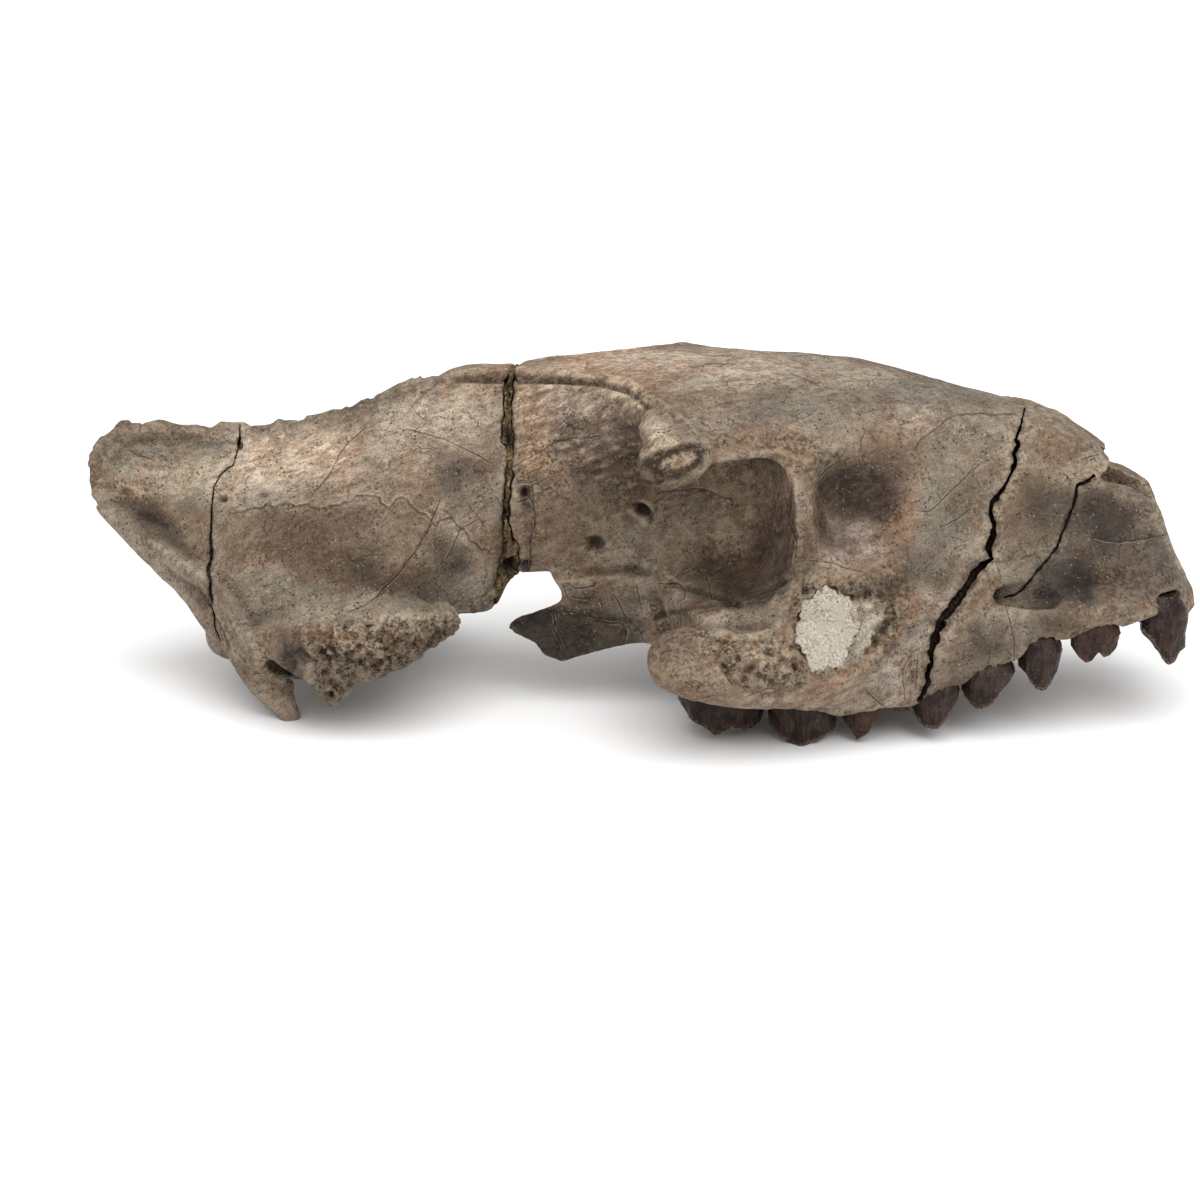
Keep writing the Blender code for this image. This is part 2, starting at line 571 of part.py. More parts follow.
def forward_crack(collection):
    """The wide open crack across the right cheek: forward, sideways and up at the bone's face."""
    route = ((77.6, -5.0, 63.8), (76.4, -9.0, 60.0), (74.2, -13.5, 53.0), (71.6, -18.0, 45.0),
             (71.0, -20.5, 39.5), (67.6, -24.0, 33.0), (62.6, -28.6, 25.0), (59.0, -31.0, 15.5),
             (57.6, -31.4, 8.0))
    half_width, depth = 0.7, 3.2
    rings = []
    for x, y, z in smooth_curve(route, 13):
        rings.append([Vector((x - half_width, y + depth, z)), Vector((x + half_width, y + depth, z)),
                      Vector((x + 1.6 * half_width, y - 14.0, z)),
                      Vector((x - 1.6 * half_width, y - 14.0, z))])
    return loft("forward_crack", rings, collection)


def main():
    clear_scene()
    scene = bpy.context.scene
    skull = bpy.data.collections.new(NAME)
    tools = bpy.data.collections.new("cutters")
    scene.collection.children.link(skull)
    scene.collection.children.link(tools)
    bone = material("fossil_bone", (0.235, 0.195, 0.150), 0.75)
    enamel = material("tooth_enamel", (0.050, 0.032, 0.028), 0.3)
    sediment = material("pale_sediment", (0.560, 0.500, 0.420), 0.95)
    glue = material("break_filling", (0.300, 0.240, 0.110), 0.85)

    bodies = [bone_core(skull)]
    for make in (cheek_stumps, arch_roots, rear_prongs, neck_joint, ear_bulbs, throat_plates,
                 brow_stumps, nose_roof):
        bodies += make(skull)
    cranium = join("cranium", bodies, skull)
    fuse(cranium, BONE_VOXEL)
    for cutter in hollows(tools):
        as_cutter(cutter)
        cut(cranium, cutter)
    decimate = cranium.modifiers.new("coarse", "DECIMATE")
    decimate.ratio = BONE_TRIANGLES / (2.0 * len(cranium.data.polygons))
    evaluated(cranium)

    cheek = copy_of(cranium, "cheek_filling", skull)
    cut(cheek, as_cutter(cheek_patch("cheek_filling_shape", FILLING_GAP, tools)), "INTERSECT")
    cut(cranium, as_cutter(cheek_patch("cheek_filling_place", 0.0, tools)))

    below = ((-BLOCK_REACH, 0.0), (BLOCK_REACH, 0.0), (BLOCK_REACH, -12.0), (-BLOCK_REACH, -12.0))
    floor = as_cutter(plate("floor_block", below, 0.0, 60.0, tools))
    cut(cranium, floor)
    for spec in TEETH:
        for side in ("right", "left"):
            cut(cranium, as_cutter(tooth_on_side(spec, side, "_place", FILLING_GAP, tools)))
            tooth = tooth_on_side(spec, side, "", 0.0, skull)
            if min(spec["outer"]) < 0.0:
                cut(tooth, floor)
            tooth.data.materials.clear()
            tooth.data.materials.append(enamel)

    half = BREAK_GAP / 2.0
    filling = copy_of(cranium, "break_filling", skull)
    centre = Matrix.Translation((0.0, 0.0, FILLING_CENTRE_Z * MM))
    filling.data.transform(centre @ Matrix.Diagonal((1.0, *FILLING_SHRINK, 1.0))
                           @ centre.inverted())
    cut(filling, as_cutter(break_block("filling_slab", FILLING_GAP - half, half - FILLING_GAP,
                                       tools)), "INTERSECT")
    face = copy_of(cranium, "face_fragment", skull)
    cut(face, as_cutter(break_block("front_block", half, BLOCK_REACH, tools)), "INTERSECT")
    cut(face, as_cutter(forward_crack(tools)))
    braincase = copy_of(cranium, "braincase_fragment", skull)
    cut(braincase, as_cutter(break_block("rear_block", -BLOCK_REACH, -half, tools)), "INTERSECT")
    bpy.data.objects.remove(cranium, do_unlink=True)
    for obj, mat in ((face, bone), (braincase, bone), (cheek, sediment), (filling, glue)):
        obj.data.materials.clear()
        obj.data.materials.append(mat)
    for obj in skull.objects:
        obj.data.shade_smooth()
        obj.data.set_sharp_from_angle(angle=math.radians(35.0))


main()
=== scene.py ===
"""The fossil oreodont skull of the photograph: looks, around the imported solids.

Metres, +Z up, +X towards the muzzle; the skull's right side, at -Y, faces the camera.
Tables of shapes are in millimetres. Strokes on the bone are laid in the picture plane of the
camera, in picture points of a frame 1200 wide and 1200 high, and reach the bone behind them.
"""
import math

import bmesh
import bpy
import numpy as np
from mathutils import Matrix, Vector
from mathutils.bvhtree import BVHTree


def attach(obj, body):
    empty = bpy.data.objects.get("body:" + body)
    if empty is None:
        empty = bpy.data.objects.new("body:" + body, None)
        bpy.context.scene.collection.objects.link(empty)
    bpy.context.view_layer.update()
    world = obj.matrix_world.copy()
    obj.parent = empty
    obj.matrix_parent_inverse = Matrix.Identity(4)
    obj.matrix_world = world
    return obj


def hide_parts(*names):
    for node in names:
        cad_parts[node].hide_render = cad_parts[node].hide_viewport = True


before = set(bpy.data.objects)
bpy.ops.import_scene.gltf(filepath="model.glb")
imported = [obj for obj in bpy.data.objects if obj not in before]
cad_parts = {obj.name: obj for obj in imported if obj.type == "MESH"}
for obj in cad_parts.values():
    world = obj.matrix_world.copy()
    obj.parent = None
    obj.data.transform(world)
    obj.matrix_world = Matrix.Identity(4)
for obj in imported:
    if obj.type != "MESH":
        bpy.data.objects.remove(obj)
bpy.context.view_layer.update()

MM = 0.001

# The camera. It stands at the photograph's viewing angle: level with the right side, a little
# towards the muzzle, and 17 degrees above.
HEIGHT_ANGLE, SIDE_ANGLE = math.radians(17.0), math.radians(4.0)
VIEW_TARGET = np.array((-7.5, 0.0, 19.0))
VIEW_DISTANCE, VIEW_FOCAL = 700.0, 3400.0
PICTURE_SIDE, SENSOR_WIDTH = 1200.0, 36.0
PICTURE_MIDDLE = PICTURE_SIDE / 2
BACK = np.array((math.sin(SIDE_ANGLE) * math.cos(HEIGHT_ANGLE),
                 -math.cos(SIDE_ANGLE) * math.cos(HEIGHT_ANGLE), math.sin(HEIGHT_ANGLE)))
RIGHT = np.array((math.cos(SIDE_ANGLE), math.sin(SIDE_ANGLE), 0.0))
UP = np.cross(BACK, RIGHT)
VIEW_FROM = VIEW_TARGET + BACK * VIEW_DISTANCE

camera_data = bpy.data.cameras.new("view")
camera_data.sensor_width = SENSOR_WIDTH
camera_data.lens = VIEW_FOCAL / PICTURE_SIDE * SENSOR_WIDTH
camera_data.clip_start = 0.01
camera = bpy.data.objects.new("view", camera_data)
bpy.context.scene.collection.objects.link(camera)
camera.matrix_world = Matrix([[*row, place * MM] for row, place in
                              zip(np.array((RIGHT, UP, BACK)).T, VIEW_FROM)] + [[0, 0, 0, 1]])
bpy.context.scene.camera = camera


def in_view(places):
    """Where places in millimetres show in the picture, in picture points."""
    offset = places - VIEW_FROM
    depth = -(offset @ BACK)
    return np.stack((PICTURE_MIDDLE + VIEW_FOCAL * (offset @ RIGHT) / depth,
                     PICTURE_MIDDLE - VIEW_FOCAL * (offset @ UP) / depth), axis=1)


# The floor and the light. A white surface that runs out of the picture, a broad soft light over
# the skull and white surroundings, so that only a soft grey shadow shows under the bone.
def new_object(name, mesh):
    obj = bpy.data.objects.new(name, mesh)
    bpy.context.scene.collection.objects.link(obj)
    return obj


FLOOR_REACH, FLOOR_WHITE, FLOOR_ROUGHNESS, ROOM_LIGHT = 4.0, 0.9, 0.6, 0.8
floor_mesh = bpy.data.meshes.new("floor")
floor_mesh.from_pydata([(x * FLOOR_REACH, y * FLOOR_REACH, 0) for x, y in
                        ((-1, -1), (1, -1), (1, 1), (-1, 1))], [], [(0, 1, 2, 3)])
floor = new_object("floor", floor_mesh)
floor_look = bpy.data.materials.new("white_floor")
floor_look.use_nodes = True
floor_inputs = floor_look.node_tree.nodes["Principled BSDF"].inputs
floor_inputs["Base Color"].default_value = (FLOOR_WHITE, FLOOR_WHITE, FLOOR_WHITE, 1)
floor_inputs["Roughness"].default_value = FLOOR_ROUGHNESS
floor.data.materials.append(floor_look)

world = bpy.data.worlds.new("white_room")
world.use_nodes = True
world_inputs = world.node_tree.nodes["Background"].inputs
world_inputs["Color"].default_value = (1.0, 1.0, 1.0, 1.0)
world_inputs["Strength"].default_value = ROOM_LIGHT
bpy.context.scene.world = world
bpy.context.scene.view_settings.view_transform = "Standard"
# name, kind, place in metres, size (a sun's is an angle) and power
for name, kind, place, size, power in (("high_light", "SUN", (0.15, -0.62, 1.0), 1.1, 2.5),
                                       ("front_light", "AREA", (0.5, -1.0, 0.9), 0.5, 3.0)):
    light_data = bpy.data.lights.new(name, kind)
    if kind == "SUN":
        light_data.angle = size
    else:
        light_data.size = size
    light_data.energy = power
    light = bpy.data.objects.new(name, light_data)
    bpy.context.scene.collection.objects.link(light)
    light.location = place
    light.rotation_euler = Vector(place).to_track_quat("Z", "Y").to_euler()


# The bone. Fossil bone of the skull without its jaw, once one piece: a lofted braincase, brow and
# muzzle, with the broken stumps of the cheek arches, thin throat walls and two rear prongs.
ROD_SIDES, BALL_SEGMENTS = 28, 64
SIDE_FLIP = Matrix.Diagonal((1.0, -1.0, 1.0, 1.0))


def smooth_point(points, position, closed=False):
    """The place at a position counted in points, on a smooth curve through all of them."""
    count = len(points)
    last = count if closed else count - 1
    index = min(int(math.floor(position)), last - 1)
    part = position - index
    if closed:
        before, start, end, after = (points[(index + i) % count] for i in (-1, 0, 1, 2))
    else:
        before, start, end, after = (points[max(0, min(count - 1, index + i))]
                                     for i in (-1, 0, 1, 2))
    return 0.5 * (2 * start + (end - before) * part
                  + (2 * before - 5 * start + 4 * end - after) * part ** 2
                  + (3 * start - before - 3 * end + after) * part ** 3)


def smooth_curve(points, count, closed=False):
    points = np.array(points, float)
    spans = len(points) if closed else len(points) - 1
    steps = count if closed else count - 1
    return np.array([smooth_point(points, spans * i / steps, closed) for i in range(count)])


def made_of(name, bm):
    mesh = bpy.data.meshes.new(name)
    bm.to_mesh(mesh)
    bm.free()
    return new_object(name, mesh)


def loft(name, rings):
    """A closed body through rings of equal point counts, with fan caps."""
    bm = bmesh.new()
    rows = [[bm.verts.new(Vector(point) * MM) for point in ring] for ring in rings]
    for low, high in zip(rows, rows[1:]):
        for i in range(len(low)):
            j = (i + 1) % len(low)
            bm.faces.new((low[i], low[j], high[j], high[i]))
    for row in (rows[0], rows[-1]):
        centre = bm.verts.new(sum((v.co for v in row), Vector()) / len(row))
        for i in range(len(row)):
            bm.faces.new((row[i], row[(i + 1) % len(row)], centre))
    bmesh.ops.recalc_face_normals(bm, faces=bm.faces)
    return made_of(name, bm)


def rod(name, points):
    """A knobbly rod with round ends through (x, y, z, radius) points."""
    line = smooth_curve(points, 8 * len(points))
    places, radii = line[:, :3], line[:, 3]
    ways = np.gradient(places, axis=0)
    ways /= np.linalg.norm(ways, axis=1)[:, None]
    ends = []
    for index, sign in ((0, -1.0), (-1, 1.0)):
        ends.append([(places[index] + sign * ways[index] * radii[index] * math.sin(a),
                      radii[index] * math.cos(a)) for a in np.linspace(0.3, 1.5, 5)])
    sections = ([(p, r, ways[0]) for p, r in ends[0][::-1]]
                + list(zip(places, radii, ways)) + [(p, r, ways[-1]) for p, r in ends[1]])
    across = np.cross(ways[0], (0.0, 0.0, 1.0) if abs(ways[0][2]) < 0.9 else (0.0, 1.0, 0.0))
    rings = []
    for place, radius, way in sections:
        across = across - way * (across @ way)
        across /= np.linalg.norm(across)
        other = np.cross(way, across)
        rings.append([place + radius * (across * math.cos(a) + other * math.sin(a))
                      for a in np.linspace(0.0, 2.0 * math.pi, ROD_SIDES, endpoint=False)])
    return loft(name, rings)


def ball(name, centre, radii, tilt=(0.0, 0.0, 0.0)):
    """An oval ball; tilt is its turn about X, Y and Z in degrees."""
    bm = bmesh.new()
    bmesh.ops.create_uvsphere(bm, u_segments=BALL_SEGMENTS, v_segments=BALL_SEGMENTS // 2, radius=1.0)
    turn = Matrix.Identity(4)
    for axis, angle in zip("XYZ", tilt):
        turn = Matrix.Rotation(math.radians(angle), 4, axis) @ turn
    bmesh.ops.transform(bm, verts=bm.verts, matrix=Matrix.Translation(Vector(centre) * MM) @ turn
                        @ Matrix.Diagonal((*(Vector(radii) * MM), 1.0)))
    return made_of(name, bm)


def slab(name, outline, side, half_thickness):
    """A slab from its outline in side view (x, z), standing at a sideways distance."""
    bm = bmesh.new()
    faces = []
    for y in (side - half_thickness, side + half_thickness):
        faces.append(bm.faces.new([bm.verts.new((x * MM, y * MM, z * MM)) for x, z in outline]))
    near, far = faces
    for i in range(len(outline)):
        j = (i + 1) % len(outline)
        bm.faces.new((near.verts[i], near.verts[j], far.verts[j], far.verts[i]))
    bmesh.ops.triangulate(bm, faces=faces)
    bmesh.ops.recalc_face_normals(bm, faces=bm.faces)
    return made_of(name, bm)


def flip_side(mesh):
    mesh.transform(SIDE_FLIP)
    mesh.flip_normals()


def mirrored(obj):
    mesh = obj.data.copy()
    flip_side(mesh)
    return new_object("left_" + obj.name, mesh)


def both(obj):
    return [obj, mirrored(obj)]


def applied(obj):
    mesh = bpy.data.meshes.new_from_object(obj.evaluated_get(bpy.context.evaluated_depsgraph_get()))
    obj.modifiers.clear()
    obj.data = mesh
    return obj


def fused(name, parts, voxel):
    """One skin round all the parts, on a grid of the given size in millimetres."""
    bm = bmesh.new()
    for part in parts:
        bm.from_mesh(part.data)
        bpy.data.objects.remove(part, do_unlink=True)
    obj = made_of(name, bm)
    remesh = obj.modifiers.new("skin", "REMESH")
    remesh.mode = "VOXEL"
    remesh.voxel_size = voxel * MM
    return applied(obj)


def cut(obj, cutters, operation="DIFFERENCE"):
    """Cuts each body out of obj, joins it on or keeps what is inside it, and removes the body."""
    for cutter in cutters:
        boolean = obj.modifiers.new("cut", "BOOLEAN")
        boolean.operation = operation
        boolean.solver = "MANIFOLD"
        boolean.object = cutter
        applied(obj)
        bpy.data.objects.remove(cutter, do_unlink=True)
    return obj


# Each row is one section of the main body: its place, its distance forward, and nine points of its
# right half as (outward, up), from the middle of the top round the side to the underside.
BONE_SECTIONS = (
    ("tip of the crest", -113.4, (0, 46.5), (0.8, 46.4), (1.6, 45.8), (2.0, 44.8), (2.2, 43.8),
        (2.0, 42.8), (1.5, 41.9), (0.8, 41.3), (0, 41.2)),
    ("back edge of the crest", -111.8, (0, 50.0), (1.6, 49.6), (3.0, 47.6), (4.0, 45.0), (4.5, 42.0),
        (4.2, 39.8), (3.0, 38.0), (1.5, 37.4), (0, 38.0)),
    ("fan of the crest", -106.5, (0, 55.3), (2.2, 54.8), (3.4, 51.0), (4.2, 46.5), (5.4, 41.0),
        (6.4, 36.5), (6.0, 32.8), (3.0, 33.5), (0, 35.5)),
    ("wings below the crest", -99.0, (0, 56.0), (2.0, 55.4), (3.4, 51.0), (4.6, 45.0), (7.0, 38.0),
        (10.0, 31.5), (9.6, 26.6), (5.0, 28.5), (0, 32.0)),
    ("back of the skull, upper", -92.0, (0, 55.4), (1.7, 54.8), (3.6, 51.0), (7.0, 45.0), (11.0, 37.5),
        (13.6, 29.0), (12.6, 21.5), (6.0, 22.5), (0, 25.0)),
    ("back of the skull, lower", -86.5, (0, 55.6), (1.6, 55.0), (4.0, 51.5), (9.0, 45.0), (14.5, 37.0),
        (18.0, 27.5), (18.0, 17.0), (9.0, 13.0), (0, 14.5)),
    ("rear of the braincase", -80.0, (0, 55.9), (1.6, 55.3), (5.0, 51.5), (12.5, 45.0), (19.5, 36.5),
        (23.5, 26.0), (22.5, 14.0), (11.0, 9.0), (0, 10.0)),
    ("braincase behind the ear", -70.0, (0, 56.4), (1.6, 55.8), (7.0, 51.5), (17.0, 45.5), (25.0, 37.0),
        (28.0, 27.0), (25.5, 14.0), (13.0, 9.5), (0, 11.0)),
    ("braincase above the ear", -60.0, (0, 59.2), (1.6, 58.6), (8.0, 53.5), (19.0, 46.5), (27.5, 38.0),
        (30.5, 28.0), (30.0, 15.5), (14.0, 11.0), (0, 12.5)),
    ("widest braincase", -50.0, (0, 63.0), (1.7, 62.4), (9.0, 56.0), (19.5, 48.5), (27.5, 39.0),
        (29.4, 29.0), (28.0, 17.5), (12.0, 14.0), (0, 14.5)),
    ("front of the braincase", -40.0, (0, 66.6), (2.4, 66.0), (9.5, 58.5), (17.5, 51.0), (22.5, 43.0),
        (24.0, 32.0), (20.0, 21.5), (8.0, 17.5), (0, 18.0)),
    ("where the crest parts", -31.0, (0, 67.9), (2.0, 67.4), (7.5, 60.5), (13.5, 53.0), (17.5, 45.0),
        (18.5, 34.0), (14.0, 22.5), (8.0, 18.3), (0, 18.6)),
    ("lip of the break", -28.2, (0, 68.1), (2.2, 67.6), (8.0, 61.0), (13.5, 53.5), (17.0, 45.0),
        (17.0, 34.0), (12.5, 24.0), (7.0, 19.6), (0, 20.0)),
    ("the narrow waist", -24.0, (0, 68.3), (2.8, 67.8), (9.0, 61.5), (13.8, 54.0), (15.8, 46.0),
        (14.5, 36.0), (10.5, 28.0), (5.0, 25.8), (0, 26.0)),
    ("temple", -12.0, (0, 69.0), (8.4, 68.4), (12.0, 63.0), (14.0, 56.0), (14.4, 48.0), (13.0, 38.0),
        (11.0, 30.0), (6.0, 26.8), (0, 26.6)),
    ("temple behind the brow", -3.5, (0, 69.5), (13.6, 68.2), (17.0, 63.5), (16.5, 57.0), (13.8, 48.0),
        (12.5, 38.0), (11.5, 30.0), (6.5, 26.8), (0, 26.6)),
    ("brow corner", 3.0, (0, 69.8), (20.6, 67.6), (25.0, 63.6), (21.0, 57.0), (14.0, 48.0), (12.6, 38.0),
        (12.0, 30.0), (7.0, 26.8), (0, 26.6)),
    ("behind the last molar", 9.0, (0, 70.0), (28.0, 66.6), (34.0, 62.4), (31.0, 55.5), (20.0, 46.0),
        (18.0, 34.0), (24.0, 19.0), (14.0, 18.0), (0, 22.0)),
    ("last molar", 14.0, (0, 70.1), (29.6, 66.0), (35.6, 61.4), (36.0, 54.0), (36.0, 44.0), (38.0, 30.0),
        (34.0, 12.0), (17.0, 11.0), (0, 20.0)),
    ("middle of the eye socket", 25.0, (0, 69.8), (27.0, 65.8), (34.0, 60.6), (35.6, 54.0), (36.6, 44.0),
        (39.5, 30.0), (34.5, 9.5), (17.0, 9.0), (0, 19.0)),
    ("front rim of the eye socket", 34.0, (0, 69.1), (20.5, 67.0), (30.5, 61.5), (35.0, 53.5),
        (37.0, 43.0), (39.0, 30.0), (34.8, 8.3), (17.5, 8.0), (0, 18.5)),
    ("pit in front of the eye", 44.0, (0, 68.2), (17.5, 66.8), (26.0, 61.5), (30.0, 53.0), (33.0, 43.0),
        (37.0, 29.0), (34.5, 7.4), (17.5, 7.6), (0, 18.5)),
    ("first molar", 54.0, (0, 66.7), (13.0, 65.4), (20.5, 60.5), (25.5, 52.0), (29.0, 41.0),
        (32.0, 28.0), (32.8, 8.4), (17.5, 9.0), (0, 19.0)),
    ("fourth premolar", 64.0, (0, 64.8), (10.5, 63.4), (16.0, 58.5), (20.5, 50.5), (24.5, 39.5),
        (28.0, 26.0), (30.0, 11.6), (17.0, 12.5), (0, 20.5)),
    ("third premolar", 74.0, (0, 62.4), (9.0, 61.0), (12.5, 56.5), (16.5, 49.0), (20.5, 38.5),
        (24.0, 26.0), (27.4, 15.6), (16.0, 16.5), (0, 22.5)),
    ("second premolar", 83.0, (0, 59.6), (8.0, 58.6), (10.8, 54.5), (14.0, 47.0), (17.5, 37.5),
        (21.5, 26.5), (24.6, 19.3), (15.0, 20.0), (0, 24.0)),
    ("first premolar", 92.0, (0, 55.0), (6.8, 54.4), (9.8, 51.0), (12.4, 45.5), (15.4, 37.5),
        (19.4, 27.5), (22.0, 20.8), (13.0, 21.5), (0, 24.5)),
    ("nose opening", 98.0, (0, 47.8), (6.4, 49.4), (9.8, 50.2), (12.6, 46.0), (14.8, 38.6), (18.6, 28.5),
        (20.8, 22.0), (12.0, 22.5), (0, 24.5)),
    ("canine", 104.0, (0, 40.4), (6.4, 43.2), (10.0, 44.6), (12.6, 41.0), (14.8, 34.6), (17.6, 28.0),
        (19.2, 23.8), (11.0, 22.0), (0, 23.5)),
    ("front of the muzzle", 110.0, (0, 29.4), (4.6, 29.4), (8.0, 28.8), (10.8, 27.6), (12.8, 25.8),
        (13.8, 23.8), (13.0, 21.6), (7.0, 20.2), (0, 21.0)),
    ("tip of the muzzle", 113.4, (0, 23.8), (1.5, 23.8), (3.0, 23.7), (4.2, 23.3), (5.0, 22.7),
        (5.0, 22.0), (4.0, 21.4), (2.0, 21.1), (0, 21.0)),
)


def main_body():
    """The body lofted through the sections, with a ring at about every millimetre."""
    stations = np.array([[(x, -out, up) for out, up in half]
                         + [(x, out, up) for out, up in half[-2:0:-1]]
                         for place, x, *half in BONE_SECTIONS], float)
    rings = []
    for index in range(len(stations) - 1):
        steps = max(1, round(abs(stations[index + 1][0][0] - stations[index][0][0])))
        rings += [smooth_point(stations, index + k / steps) for k in range(steps)]
    rings.append(stations[-1])
    return loft("main_body", [smooth_curve(ring, 144, closed=True) for ring in rings])


parts = [main_body()]
for name, points in (
        ("cheek", ((64, -20, 18, 4), (54, -26.6, 16.5, 6), (44, -31, 17.5, 8), (34, -36.6, 18, 8.8),
                   (24, -41.2, 18.2, 7.8), (15, -43, 19.5, 7.2), (11.0, -43.5, 20.3, 6.6))),
        ("arch_root", ((-76, -26, 15, 4), (-68, -30, 18, 5), (-60, -33.5, 17.5, 6.5),
                       (-52, -34.5, 18, 6), (-45, -31, 19, 5), (-38, -23, 21, 4))),
        ("knob", ((-58, -31, 18, 7), (-58, -33.5, 12, 4.6), (-58.3, -34.5, 8.2, 2))),
        ("ridge", ((-104, -5.6, 37, 1.8), (-94, -11.5, 30, 2.4), (-84, -21, 27, 2.6),
                   (-78, -26, 19, 2.8), (-74, -26.5, 12, 3.4))),
        ("prong", ((-76, -20, 14, 6), (-73, -23, 8, 4.6), (-70, -23.8, 3, 3),
                   (-68.6, -23.9, 0.4, 2.3))),
        ("brow_stump", ((6, -28, 63, 4), (7.5, -33, 61, 4.6), (8.8, -37, 58.6, 4.4),
                        (9.2, -39.4, 57, 3.6)))):
    parts += both(rod(name, points))
parts += both(rod("tooth_ridge", ((72, -25.2, 22.6, 4.4), (81, -22.6, 24.8, 4.4),
                                  (91, -20.6, 25.7, 4.3), (96, -19.2, 26.6, 3.9),
                                  (100, -17.6, 27.8, 3.0))))
parts += both(ball("ear_block", (-66, -25.5, 17), (9, 6.5, 8)))
parts += both(ball("shelf_fill", (-52, -29, 22), (16, 6.5, 7)))
parts += both(ball("neck_knob", (-82.5, -8.5, 13), (5.5, 5.5, 6), (25, 0, 0)))
parts += both(ball("ear_bulb", (-58, -16, 11.5), (8, 6, 5), (0, 0, 20)))
parts.append(rod("left_nose_bone", ((74, 4, 61.2, 1.8), (80, 4.4, 59.6, 1.7), (86, 4.8, 57.2, 1.5),
                                    (90, 4.2, 55, 1.2))))
parts.append(slab("right_throat", (
    (8, 28), (8, 13), (1.5, 13.6), (-5, 12.2), (-10.5, 10.6), (-14.4, 9), (-18.6, 10.6),
    (-19.4, 13), (-22.5, 14.2), (-25.6, 16), (-23.8, 18.4), (-20, 19.2), (-17.4, 20.8),
    (-14.6, 21.4), (-14, 24), (-17, 28)), -11.4, 1.2))
parts.append(slab("left_throat", ((8, 28), (8, 13), (1.5, 13), (-4, 12.6), (-9, 14), (-11, 18),
                                  (-9.5, 22), (-13, 28)), 11.4, 1.2))
# How fine each skin is, in millimetres.
CRANIUM_GRID, FACE_GRID, BRAINCASE_GRID, BREAK_GRID, CHEEK_GRID = 0.8, 0.62, 0.55, 0.4, 0.35
cranium = fused("cranium", parts, CRANIUM_GRID)

# The hollows: eye sockets, the pits before them, the nerve and ear openings, nose, palate, throat
# and the hole for the neck.
def eye_socket():
    outline = np.array(((32.4, 52), (32.6, 44), (31.2, 36.5), (27, 31), (18, 28.6), (4, 27),
                        (-12, 31), (-18, 44), (-12, 53), (4, 56.6), (18, 58), (27, 58.6),
                        (30.8, 56.8)))
    pivot = np.array((-10, 43.5))
    rings = []
    for out, scale in ((-62, (1.04, 1.06)), (-36, (1, 1)), (-28, (0.96, 0.99)), (-21, (0.9, 0.97)),
                       (-17.5, (0.83, 0.95)), (-15.6, (0.74, 0.9)), (-14.8, (0.62, 0.78))):
        flat = pivot + (outline - pivot) * scale
        rings.append(smooth_curve([(x, out, z) for x, z in flat], 72, closed=True))
    return loft("eye_socket", rings)


cutters = both(eye_socket())
cutters += both(slab("arch_edge", ((-57, 2), (-55.6, 8.6), (-53, 11.8), (-48, 13.4), (-43, 14.6),
                                   (-38.9, 17.6), (-34, 20.4), (-27, 21.4), (-27, 2)), -38, 16))
cutters += both(slab("arch_face", ((-80, 2), (-36, 2), (-34, 24), (-60, 22), (-80, 20)), -50, 12.2))
cutters += both(ball("face_pit", (46.4, -34.0, 49.4), (10.4, 9.8, 12.4), (0, 8, 0)))
cutters += both(rod("nerve_hole", ((82, -23.5, 29, 3.4), (75, -23, 28, 2.6), (70, -20, 27.6, 1.6))))
cutters += both(ball("ear_hollow", (-69.6, -30, 12.6), (2.6, 4, 4.6)))
cutters.append(ball("nose_cavity", (96, 0, 40), (22, 7.8, 11.5), (0, 24, 0)))
cutters.append(ball("nose_floor", (104, 0, 35), (8.6, 8.8, 5), (0, 40, 0)))
cutters.append(ball("palate_vault", (52, 0, 8), (52, 15.5, 10.5), (0, -6, 0)))
cutters.append(ball("throat", (2, 0, 17), (26, 9.6, 9.5), (0, 4, 0)))
cutters.append(ball("neck_hole", (-84, 0, 19), (14, 7, 6)))
# The nose bones end in a broken tip that stands over the opening.
cutters.append(slab("under_nose_tip", ((91.4, 49.2), (94.2, 50.6), (95.2, 52.2), (98.6, 53.4),
                                       (104, 52), (104, 44), (98.4, 47.2), (94, 48.4)), 0, 14))
cut(cranium, cutters)
# The stumps behind the eyes hang into the sockets, broken off flat.
cut(cranium, both(ball("brow_end", (9.4, -36, 58.8), (7.6, 7.6, 5.6), (0, -20, 0))), "UNION")
cut(cranium, both(slab("brow_face", ((-4, 50), (8, 46), (24, 54), (22, 70), (-4, 70)), -50, 10.2)))

